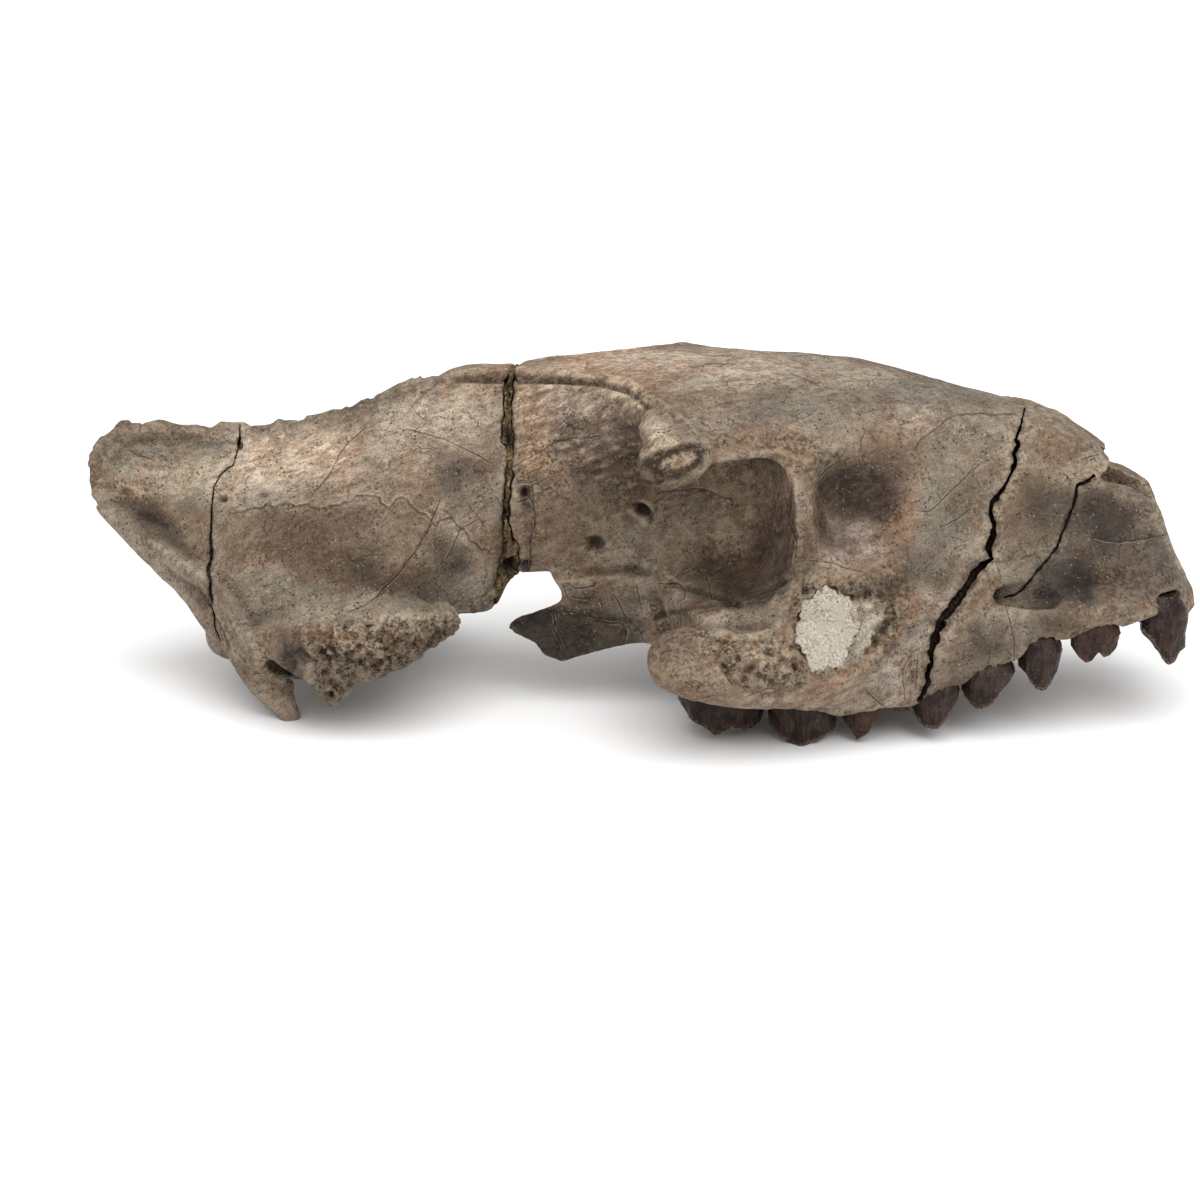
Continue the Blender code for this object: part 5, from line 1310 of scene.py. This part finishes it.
def paint_bone(obj, cuts):
    """Keeps the amounts that the bone's material reads."""
    places, ways = skin(obj)
    sight = Sight(places, ways)
    small, large = (((places - evened(obj, places, times)) * ways).sum(axis=1) for times in (8, 90))
    keep(obj, "crack", nearest_line(sight, HAIRLINES, 3.0))
    keep(obj, "seam", nearest_line(sight, SEAMS, 2.4))
    inside, beside = np.zeros(len(places)), np.zeros(len(places))
    # Painted shade: inside each cut crack the bone is darker the deeper it lies.
    for line, hits in cuts:
        away, _, passed = to_line(sight.view, line)
        width = np.interp(passed, np.linspace(0, 1, len(line)), line[:, 2])
        beside = np.maximum(beside, 0.7 * ramp(-away / width, -1.2, -0.5) * sight.seen(RIGHT_SIDE)
                            * (passed > 0.001) * (passed < 0.999))
        deep = (np.linalg.norm(places - VIEW_FROM, axis=1)
                - np.interp(passed, np.linspace(0, 1, len(line)), hits))
        inside = np.maximum(inside, (away < width * 0.75 + 1.5) * (places[:, 1] < 0)
                            * ramp(deep, 0.2, 1.2))
    # Painted shade on the broken faces that look across the break.
    gap = ramp(-np.abs(places[:, 0] - BREAK_PLACE), -4.0, -2.4) * ramp(np.abs(ways[:, 0]), 0.55, 0.85)
    rough = np.clip(sight.area(SPONGY, 14) + 0.8 * sight.area(SOCKETS, 10)
                    + 0.7 * sight.area(CHEEK_BREAK, 12)
                    + sum(amount * sight.area(outline, 6, sides)
                          for amount, sides, outline in RAGGED), 0, 1)
    # form: rough broken bone, painted shade where the skin lies in a broad hollow, and worn ridges
    keep(obj, "form", (rough, np.clip(-large / 0.9, 0, 1), np.clip((small - 0.03) / 0.16, 0, 1)))
    ragged = np.stack((7.0 * layers(places, 9.0, 21) + 2.5 * layers(places, 2.0, 23),
                       7.0 * layers(places, 9.0, 22) + 2.5 * layers(places, 2.0, 24)), axis=1)
    left, down = FAN_MIDDLE[0] - sight.view[:, 0], sight.view[:, 1] - FAN_MIDDLE[1]
    fan, out = np.arctan2(down, left), np.hypot(down, left) / POINTS_PER_MM
    near_fan = ramp(-sight.view[:, 0], -250, -220)
    slanted = sight.near_places @ np.array(((-0.35, 0.9), (0.2, 0.0), (0.93, 0.36)))
    keep(obj, "flow", (np.where(near_fan > 0.5, fan * 22.0, slanted[:, 0]),
                       np.where(near_fan > 0.5, out, slanted[:, 1]),
                       np.abs(near_fan - 0.5) * 2 * sight.facing))
    # dirt and painted shade in the darkened areas, darker still along the cut cracks
    dirt = sum(amount * sight.area(outline, soft, sides)
               for amount, soft, sides, outline in DIRT_AND_PAINTED_SHADE)
    keep(obj, "dirt", (np.clip(np.maximum(dirt, beside), 0, 1), sight.area(CHALKY, 10, RIGHT_SIDE),
                       sight.area(SCARRED, 16)))
    sight.view = sight.view + ragged
    amounts = {name: np.zeros(len(places)) for name in
               ("brown", "green", "pale", "orange", "purple", "lilac_and_light")}
    for name, amount, soft, sides, outline in STAINS:
        amounts[name] = 1 - (1 - amounts[name]) * (1 - 0.9 * amount
                                                   * sight.area(outline, soft, sides))
    keep(obj, "tint", (amounts["brown"], amounts["green"], amounts["pale"]))
    keep(obj, "stain", (amounts["orange"], amounts["purple"], amounts["lilac_and_light"]))
    # the bone's own lighter and darker tone, with painted light and shade
    shade = sum(share * sight.area(outline, soft, sides) for share, soft, sides, outline in TONE_AND_PAINTED_LIGHT)
    keep(obj, "depth", (inside, gap, np.clip(shade, -MOST_SHADE, MOST_SHADE)))


paint_bone(face, FACE_CUTS)
paint_bone(braincase, BRAINCASE_CUTS)

# The bone's material: old bone stained by the ground, dull and grainy, with painted shade in hollows
# and cracks and painted light and shade in places, paler on worn edges and along the seams, with open
# spongy bone where it broke.
def tone(code):
    """A colour from its six hex digits."""
    parts = [int(code[i:i + 2], 16) / 255.0 for i in (0, 2, 4)]
    return (*[c / 12.92 if c <= 0.04045 else ((c + 0.055) / 1.055) ** 2.4 for c in parts], 1.0)


class Net:
    """Adds nodes to a node tree in short calls that give back the first output."""
    def __init__(self, tree):
        self.tree = tree

    def node(self, kind, *values, **settings):
        node = self.tree.nodes.new(kind)
        for key, value in settings.items():
            setattr(node, key, value)
        for socket, value in zip([s for s in node.inputs if s.enabled], values):
            if isinstance(value, bpy.types.NodeSocket):
                self.tree.links.new(value, socket)
            elif value is not None:
                socket.default_value = value
        return node

    def out(self, kind, *values, **settings):
        return next(s for s in self.node(kind, *values, **settings).outputs if s.enabled)

    def math(self, operation, *values):
        return self.out("ShaderNodeMath", *values, operation=operation)

    def times(self, one, two):
        return self.math("MULTIPLY", one, two)

    def vector_math(self, operation, one, two):
        return self.node("ShaderNodeVectorMath", one, two, operation=operation).outputs[0]

    def link(self, value, node, name):
        self.tree.links.new(value, node.inputs[name])

    def mix(self, amount, one, two, blend="MIX"):
        return self.out("ShaderNodeMix", amount, one, two, data_type="RGBA", blend_type=blend,
                        clamp_factor=True)

    def step(self, value, low, high, start=0.0, end=1.0):
        return self.out("ShaderNodeMapRange", value, low, high, start, end,
                        interpolation_type="SMOOTHSTEP")

    def noise(self, vector, size, detail=3.0, roughness=0.6):
        """Noise with blobs of a size in millimetres."""
        return self.out("ShaderNodeTexNoise", vector, 1.0 / size, detail, roughness)

    def bent(self, vector, size, amount):
        """The place pushed about by noise, so that cells laid there lose their straight walls."""
        shake = self.node("ShaderNodeTexNoise", vector, 1.0 / size, 2.0, 0.5).outputs["Color"]
        shake = self.vector_math("SUBTRACT", shake, (0.5,) * 3)
        shake = self.vector_math("MULTIPLY", shake, (2.0 * amount,) * 3)
        return self.vector_math("ADD", vector, shake)

    def cells(self, vector, size, feature="F1"):
        return self.node("ShaderNodeTexVoronoi", vector, 1.0 / size, feature=feature).outputs["Distance"]

    def parts(self, vector):
        return self.node("ShaderNodeSeparateXYZ", vector).outputs

    def places(self):
        """The piece's own places, in millimetres."""
        coordinates = self.node("ShaderNodeTexCoord").outputs["Object"]
        scaled = self.node("ShaderNodeVectorMath", coordinates, operation="SCALE")
        scaled.inputs["Scale"].default_value = 1.0 / MM
        return scaled.outputs[0]

    def kept(self, name):
        return self.node("ShaderNodeAttribute", attribute_name=name).outputs["Vector"]


def group(name, inputs, outputs):
    """A node group with named sockets: its tree, a net, its inputs and its output node."""
    tree = bpy.data.node_groups.new(name, "ShaderNodeTree")
    for names, way in ((inputs, "INPUT"), (outputs, "OUTPUT")):
        for socket, kind in names:
            tree.interface.new_socket(socket, in_out=way, socket_type="NodeSocket" + kind)
    net = Net(tree)
    return tree, net, tree.nodes.new("NodeGroupInput").outputs, tree.nodes.new("NodeGroupOutput")


def use(net, tree, *values):
    return net.node("ShaderNodeGroup", *values, node_tree=tree).outputs


def bone_surface():
    """The bone's colours, its fine relief in millimetres and how dull it is."""
    tree, net, given, out = group("bone_surface", (
        ("Places", "Vector"), ("Tint", "Vector"), ("Stain", "Vector"), ("Form", "Vector"),
        ("Flow", "Vector"), ("Dirt", "Vector"), ("Depth", "Vector")),
        (("Color", "Color"), ("Height", "Float"), ("Roughness", "Float")))
    places = given["Places"]
    brown, green, pale = net.parts(given["Tint"])
    orange, purple, lilac_and_light = net.parts(given["Stain"])
    rough, hollow, edge = net.parts(given["Form"])
    dirt, chalk, scar = net.parts(given["Dirt"])
    fan, out_from_fan, strength = net.parts(given["Flow"])
    across, along = (net.node("ShaderNodeVectorMath", places, way, operation="DOT_PRODUCT")
                     .outputs["Value"] for way in ((-0.35, 0.2, 0.93), (0.9, 0.0, 0.36)))
    ripples = net.noise(net.out("ShaderNodeCombineXYZ", across, net.times(along, 0.35),
                                net.parts(places)[1]), 1.5, 4.0, 0.6)
    clouds, patches = net.noise(places, 14.0, 3.0), net.noise(places, 4.5, 4.0, 0.65)
    drawn = net.out("ShaderNodeCombineXYZ", across, net.times(along, 0.6), net.parts(places)[1])
    mottle, grain = net.noise(drawn, 1.5, 6.0, 0.7), net.noise(places, 0.36, 3.0, 0.65)
    color = net.mix(net.step(clouds, 0.42, 0.58), tone("877969"), tone("735e4c"))
    color = net.mix(net.step(patches, 0.52, 0.62, 0.0, 0.5), color, tone("766c5f"))
    color = net.mix(net.step(patches, 0.48, 0.40, 0.0, 0.5), color, tone("614d3b"))
    uneven = net.step(patches, 0.42, 0.56, 0.45, 1.0)
    # the third stain is a lilac tint, and painted light in the lower part of the pit before the eye
    for amount, shade in ((green, "71695b"), (brown, "5e4a37"), (orange, "795a44"),
                          (purple, "4d403b"), (lilac_and_light, "827872"), (pale, "a29482")):
        color = net.mix(net.times(amount, uneven), color, tone(shade))
    fanned = net.out("ShaderNodeCombineXYZ", fan, net.times(out_from_fan, 0.12), 0.0)
    streaks = net.noise(fanned, 0.8, 4.0, 0.7)
    streaks = net.math("MULTIPLY_ADD", net.math("SUBTRACT", streaks, 0.5), strength, 0.5)
    for value, low, high in ((streaks, 0.92, 1.09), (mottle, 0.85, 1.15), (grain, 0.80, 1.21)):
        color = net.mix(1.0, color, net.step(value, 0.42, 0.58, low, high), "MULTIPLY")
    # pores, pale scratches along the grain and fine drying cracks, in places
    pores = net.times(net.step(net.cells(places, 0.85), 0.34, 0.18),
                      net.step(net.noise(places, 3.0, 2.0), 0.48, 0.60))
    drawn_out = net.out("ShaderNodeCombineXYZ", along, net.times(across, 0.10), 3.0)
    scratches = net.times(net.step(net.noise(drawn_out, 0.6, 3.0, 0.6), 0.60, 0.66),
                          net.step(net.noise(places, 6.0, 2.0), 0.50, 0.58))
    walls = net.cells(net.bent(places, 2.6, 1.9), 6.0, "DISTANCE_TO_EDGE")
    flaws = net.times(net.step(walls, 0.022, 0.006),
                      net.step(net.noise(places, 8.0, 2.0), 0.52, 0.60))
    color = net.mix(net.times(pores, 0.75), color, tone("34281e"))
    color = net.mix(net.times(scratches, 0.35), color, tone("a6967f"))
    color = net.mix(net.times(flaws, 0.45), color, tone("33271d"))
    spongy = net.noise(places, 0.9, 5.0, 0.75)
    crumbs = net.mix(net.step(spongy, 0.44, 0.55), tone("2e2117"), tone("a8937a"))
    crumbs = net.mix(net.step(net.noise(places, 3.4, 3.0), 0.50, 0.60, 0.0, 0.6), crumbs,
                     tone("7a5335"))
    crumbs = net.mix(net.step(net.noise(places, 2.0, 4.0, 0.7), 0.42, 0.37, 0.0, 0.85), crumbs,
                     tone("1f160e"))
    color = net.mix(net.times(rough, 0.85), color, crumbs)
    # patches where the skin of the bone is etched and crumbly
    etched = net.step(net.noise(places, 7.0, 3.0, 0.6), 0.50, 0.60, 0.0, 0.8)
    color = net.mix(etched, color, net.mix(1.0, color, net.step(spongy, 0.43, 0.57, 0.72, 1.30),
                                           "MULTIPLY"))
    color = net.mix(net.times(edge, net.step(mottle, 0.44, 0.56, 0.05, 0.5)), color, tone("a3957f"))
    # painted shade in broad hollows
    color = net.mix(net.times(hollow, 0.75), color, net.mix(1.0, color, tone("75604e"), "MULTIPLY"))
    # dirt and painted shade: the darkened areas and the mouths of the cut cracks
    color = net.mix(net.times(dirt, net.step(mottle, 0.44, 0.56, 1.0, 0.6)), color, tone("2b2018"))
    color = net.mix(net.times(chalk, net.step(patches, 0.42, 0.50, 0.3, 0.9)), color,
                    net.mix(net.step(grain, 0.43, 0.57), tone("9c8f7e"), tone("c9c0b2")))
    color = net.mix(scar, color, net.mix(1.0, color, net.step(ripples, 0.42, 0.58, 0.78, 1.22),
                                         "MULTIPLY"))
    # lighter and darker: the bone's own tone and painted light and shade
    shade = net.parts(given["Depth"])[2]
    color = net.mix(1.0, color, net.math("MULTIPLY_ADD", shade, net.step(mottle, 0.4, 0.6, 0.9, 1.4),
                                         1.0), "MULTIPLY")
    height = net.times(streaks, 0.12)
    for value, amount in ((mottle, 0.45), (grain, 0.34), (pores, -0.25), (flaws, -0.25),
                          (net.times(rough, spongy), 1.5),
                          (net.times(etched, spongy), 0.5)):
        height = net.math("MULTIPLY_ADD", value, amount, height)
    net.link(color, out, "Color")
    net.link(height, out, "Height")
    net.link(net.step(mottle, 0.42, 0.58, 0.84, 0.56), out, "Roughness")
    return tree


def cracks_and_seams():
    """Lays the fine cracks and seams on, and painted shade under the seams, in the cut cracks and the
    break.
    """
    tree, net, given, out = group("cracks_and_seams", (
        ("Places", "Vector"), ("Color", "Color"), ("Height", "Float"), ("Crack", "Vector"),
        ("Seam", "Vector"), ("Depth", "Vector")), (("Color", "Color"), ("Height", "Float")))
    places = given["Places"]
    shake = net.math("SUBTRACT", net.noise(places, 0.7, 3.0, 0.6), 0.5)
    color, height = given["Color"], given["Height"]
    away, width, close = net.parts(given["Seam"])
    far = net.math("ABSOLUTE", net.math("MULTIPLY_ADD", shake, 0.5, away))
    seam = net.times(close, net.step(net.math("SUBTRACT", far, width), 0.12, -0.12))
    # painted shade: a darker band along one side of each seam, below it where the seam is drawn to the
    # right, under its raised edge
    below = net.times(close,
                      net.step(net.math("ABSOLUTE", net.math("ADD", away, -0.45)), 0.38, 0.1, 0.0,
                               0.6))
    broken = net.step(net.noise(places, 2.2, 2.0), 0.42, 0.54, 0.1, 1.0)
    color = net.mix(below, color, net.mix(1.0, color, tone("7d6350"), "MULTIPLY"))
    color = net.mix(net.times(net.times(seam, 0.8), broken), color, tone("a6967e"))
    height = net.math("MULTIPLY_ADD", seam, 0.22, height)
    away, width, close = net.parts(given["Crack"])
    far = net.math("ABSOLUTE", net.math("MULTIPLY_ADD", shake, 0.3, away))
    crack = net.times(close, net.step(net.math("SUBTRACT", far, width), 0.08, -0.06))
    beside = net.times(close,
                       net.step(net.math("ABSOLUTE", net.math("ADD", far, -0.3)), 0.2, 0.05, 0.0,
                                0.2))
    color = net.mix(net.times(beside, broken), color, tone("a3937b"))
    color = net.mix(net.times(net.times(crack, 0.6), broken), color, tone("2d2219"))
    height = net.math("MULTIPLY_ADD", crack, -0.5, height)
    # painted shade down in the cut cracks and on the broken faces in the break
    inside, gap, _ = net.parts(given["Depth"])
    color = net.mix(inside, color, net.mix(net.step(shake, -0.1, 0.14), tone("20170f"),
                                           tone("5c4632")))
    color = net.mix(net.times(gap, net.step(shake, -0.12, 0.1, 0.85, 0.3)), color, tone("35281d"))
    net.link(color, out, "Color")
    net.link(height, out, "Height")
    return tree


def dust():
    """Pale specks of dust and dark specks of dirt, for every material here."""
    tree, net, given, out = group("dust_and_dirt", (
        ("Places", "Vector"), ("Color", "Color"), ("Dust", "Float"), ("Dirt", "Float")),
        (("Color", "Color"),))
    places = given["Places"]
    where = net.step(net.noise(places, 6.0, 2.0), 0.46, 0.56)
    specks = net.step(net.cells(places, 1.0), 0.20, 0.10)
    color = net.mix(net.times(net.times(specks, where), given["Dust"]), given["Color"],
                    tone("a89a84"))
    shifted = net.vector_math("ADD", places, (7.3, 1.9, 4.1))
    dirt = net.step(net.cells(shifted, 1.4), 0.26, 0.14)
    color = net.mix(net.times(dirt, given["Dirt"]), color, tone("2e241c"))
    net.link(color, out, "Color")
    return tree


DUST = dust()


def material(name, roughness, specular):
    look = bpy.data.materials.new(name)
    look.use_nodes = True
    shader = look.node_tree.nodes["Principled BSDF"]
    shader.inputs["Roughness"].default_value = roughness
    shader.inputs["Specular IOR Level"].default_value = specular
    return look, Net(look.node_tree), shader


def bumped(net, shader, height):
    """Feeds a height in millimetres to the shader as a bump."""
    bump = net.node("ShaderNodeBump", 1.0, MM)
    net.link(height, bump, "Height")
    net.link(bump.outputs["Normal"], shader, "Normal")


def bone_material():
    look, net, shader = material("fossil_bone_look", 0.7, 0.3)
    places = net.places()
    depth = net.kept("depth")
    color, height, roughness = use(net, bone_surface(), places, net.kept("tint"), net.kept("stain"),
                                   net.kept("form"), net.kept("flow"), net.kept("dirt"), depth)
    color, height = use(net, cracks_and_seams(), places, color, height, net.kept("crack"),
                        net.kept("seam"), depth)
    color = use(net, DUST, places, color, 0.55, 0.35)[0]
    net.link(color, shader, "Base Color")
    net.link(roughness, shader, "Roughness")
    bumped(net, shader, height)
    return look


BONE_LOOK = bone_material()
for obj, node in ((face, "face_fragment"), (braincase, "braincase_fragment")):
    obj.data.materials.clear()
    obj.data.materials.append(BONE_LOOK)
    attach(obj, "root")
    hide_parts(node)

# The fillings. Yellowish sediment and old glue join the two fragments, with voids painted near black
# as shade; a pale granular sediment fills the hole in the cheek.
break_matrix = fused("break_matrix", [cut(break_body, [break_gap(-0.12)], "INTERSECT")],
                     BREAK_GRID)
cheek_sediment = fused("cheek_sediment", [cheek_body], CHEEK_GRID)
bpy.data.objects.remove(cranium, do_unlink=True)


# Voids in the break, sunk in and painted near black as shade: middle and radii in the picture.
VOIDS = (((510, 437), (7, 16)), ((508, 400), (4, 14)), ((505, 512), (4, 10)), ((512, 568), (9, 14)))


def shape_matrix(obj):
    places, ways = skin(obj)
    sight = Sight(places, ways)
    outward = 1 - ramp(np.abs(ways[:, 0]), 0.5, 0.9)
    lumps = 0.9 * layers(places, 2.8, 31) + 0.4 * layers(places, 1.0, 33)
    voids = ramp(layers(places, (3.0, 3.0, 4.5), 35, 2), 0.15, 0.55)
    for middle, radii in VOIDS:
        voids = np.maximum(voids, np.minimum(1, 1.6 * sight.spot(middle, radii)))
    move_skin(obj, places - ways * (outward * (0.35 - lumps + 2.4 * voids))[:, None])
    keep(obj, "form", (voids, ramp(-lumps, 0.0, 0.5), 0 * lumps))


def shape_sediment(obj):
    places, ways = skin(obj)
    front = ramp(-ways[:, 1], 0.2, 0.6)
    grains = 0.22 * layers(places, 1.5, 41) + 0.12 * (1 - bumps(places, 0.9, 42))
    move_skin(obj, places + ways * (front * (grains - 0.15))[:, None])
    keep(obj, "form", (0 * grains, ramp(-grains, 0.0, 0.2), 0 * grains))


shape_matrix(break_matrix)
shape_sediment(cheek_sediment)


def filling_material(name, pale, deep, stain, size, bump):
    look, net, shader = material(name, 0.85, 0.2)
    places = net.places()
    voids, low, _ = net.parts(net.kept("form"))
    grain, blobs = net.noise(places, size, 4.0, 0.7), net.noise(places, size * 5, 3.0)
    color = net.mix(net.step(grain, 0.42, 0.58), tone(deep), tone(pale))
    color = net.mix(net.step(blobs, 0.48, 0.56, 0.0, 0.85), color, tone(stain))
    # painted shade: darker in low spots between the grains, near black in the voids
    color = net.mix(net.times(low, 0.6), color, tone(deep))
    color = net.mix(voids, color, tone("17110c"))
    color = use(net, DUST, places, color, 0.3, 0.4)[0]
    net.link(color, shader, "Base Color")
    net.link(net.step(grain, 0.3, 0.7, 0.95, 0.75), shader, "Roughness")
    height = net.math("ADD", grain, net.times(net.cells(places, size), 0.5))
    bumped(net, shader, net.times(height, bump))
    return look


for obj, node, slot, look in (
        (break_matrix, "break_filling", "break_filling",
         filling_material("break_matrix_look", "98825a", "35281b", "66533a", 0.8, 1.4)),
        (cheek_sediment, "cheek_filling", "pale_sediment",
         filling_material("cheek_sediment_look", "cfc7ba", "a39989", "bdb3a4", 0.55, 0.9))):
    shade_smooth(obj)
    obj.data.materials.append(look)
    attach(obj, "root")
    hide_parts(node)


# The teeth. Dark glossy enamel, grown as crescents: an outer wall with upright ribs, worn hollows
# on the chewing face. Each stands on its root in its socket.
WALL_SHARES, FACE_SCALES = np.linspace(0.08, 0.97, 16), np.linspace(0.97, 0.05, 26)
BROKEN_TEETH = ("molar_1", "premolar_1")


def tooth(spec, side):
    """A tooth from its root down: root, wall with ribs, and chewing face with its hollow."""
    u, w = oval(120, 0.75)
    gum, cusps = spec["gum"], 2 if spec["name"].startswith("molar") else 1
    rib = (w > 0) * (np.cos(u * np.pi * cusps / 2) ** 10 + 0.4 * np.sin(u * np.pi * cusps / 2) ** 10)
    root = ((0.70, 0.60, ROOT_DEPTH), (0.74, 0.64, ROOT_DEPTH - 0.4), (0.96, 0.95, 1.0),
            (1.01, 1.02, -0.4))
    rings = [tooth_place(spec, u, w, along, across, gum + rise) for along, across, rise in root]

    def ribs(amount):
        return np.stack((0 * u, (0.9 - 1.2 * rib) * (w > 0) * amount, 0 * u), axis=1)

    edge = crown_edge(spec, u, w)
    for share in WALL_SHARES:
        height = gum + (edge - gum) * share
        swell = 1.0 - 0.05 * share
        rings.append(tooth_place(spec, u, w, swell, swell, np.maximum(height, 0.0)) + ribs(share))
    for scale in FACE_SCALES:
        height = crown_edge(spec, u * scale, w * scale)
        basin = 1.5 * math.sin(math.pi * min(1.0, (1 - scale) * 1.3)) ** 2
        folds = 0.7 * np.cos(w * scale * np.pi * 1.5) ** 2 * np.cos(u * scale * np.pi * cusps) ** 2
        rings.append(tooth_place(spec, u * scale, w * scale, 0.95, 0.95,
                                 np.maximum(height + basin * 0.6 + folds * (1 - scale), 0.0))
                     + ribs(scale ** 4))
    body = loft(side + "_" + spec["name"] + "_crown", rings)
    places, ways = skin(body)
    places += ways * (0.34 * layers(places, 3.0, 51) + 0.14 * layers(places, 1.1, 52))[:, None]
    places[:, 2] = np.maximum(places[:, 2], 0.0)
    move_skin(body, places)
    # 0 on the root, up to 1 down the wall and on to 2 in the middle of the chewing face
    level = np.concatenate([np.full(len(u), value) for value in
                            [0.0] * len(root) + list(WALL_SHARES)
                            + list(np.linspace(1.0, 2.0, len(FACE_SCALES)))] + [[0.0, 2.0]])
    broken = 1.0 if spec["name"] in BROKEN_TEETH and side == "right" else 0.0
    keep(body, "form", (level, np.full(len(level), broken), ramp(-np.abs(level - 1.0), -0.16, 0.0)))
    if side == "left":
        flip_side(body.data)
    return body


def enamel_material():
    look, net, shader = material("dark_enamel_look", 0.25, 0.16)
    places = net.places()
    level, broken, rim = net.parts(net.kept("form"))
    clouds, fine = net.noise(places, 3.0, 3.0), net.noise(places, 0.5, 3.0)
    x, y, z = net.parts(places)
    streaks = net.noise(net.out("ShaderNodeCombineXYZ", x, y, net.times(z, 0.15)), 0.6, 3.0)
    color = net.mix(net.step(clouds, 0.43, 0.57), tone("1f1512"), tone("33251e"))
    color = net.mix(net.step(streaks, 0.52, 0.62, 0.0, 0.3), color, tone("4a382d"))
    color = net.mix(net.step(streaks, 0.46, 0.40, 0.0, 0.6), color, tone("120c0a"))
    color = net.mix(net.times(rim, net.step(fine, 0.46, 0.56, 0.0, 0.6)), color, tone("86745f"))
    color = net.mix(net.step(level, 1.15, 1.4, 0.0, 0.7), color, tone("4a3729"))
    color = net.mix(net.times(broken, net.step(fine, 0.45, 0.56, 0.1, 0.7)), color, tone("40291f"))
    color = use(net, DUST, places, color, 0.2, 0.2)[0]
    net.link(color, shader, "Base Color")
    net.link(net.step(fine, 0.42, 0.58, 0.10, 0.30), shader, "Roughness")
    height = net.math("MULTIPLY_ADD", streaks, 0.3, net.times(fine, 0.12))
    bumped(net, shader, height)
    return look


ENAMEL_LOOK = enamel_material()
for spec in TEETH:
    for side in ("right", "left"):
        piece = tooth(tooth_spec(spec, side), side)
        shade_smooth(piece)
        piece.data.set_sharp_from_angle(angle=math.radians(50))
        piece.data.materials.append(ENAMEL_LOOK)
        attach(piece, "root")
        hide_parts(side + "_" + spec["name"])
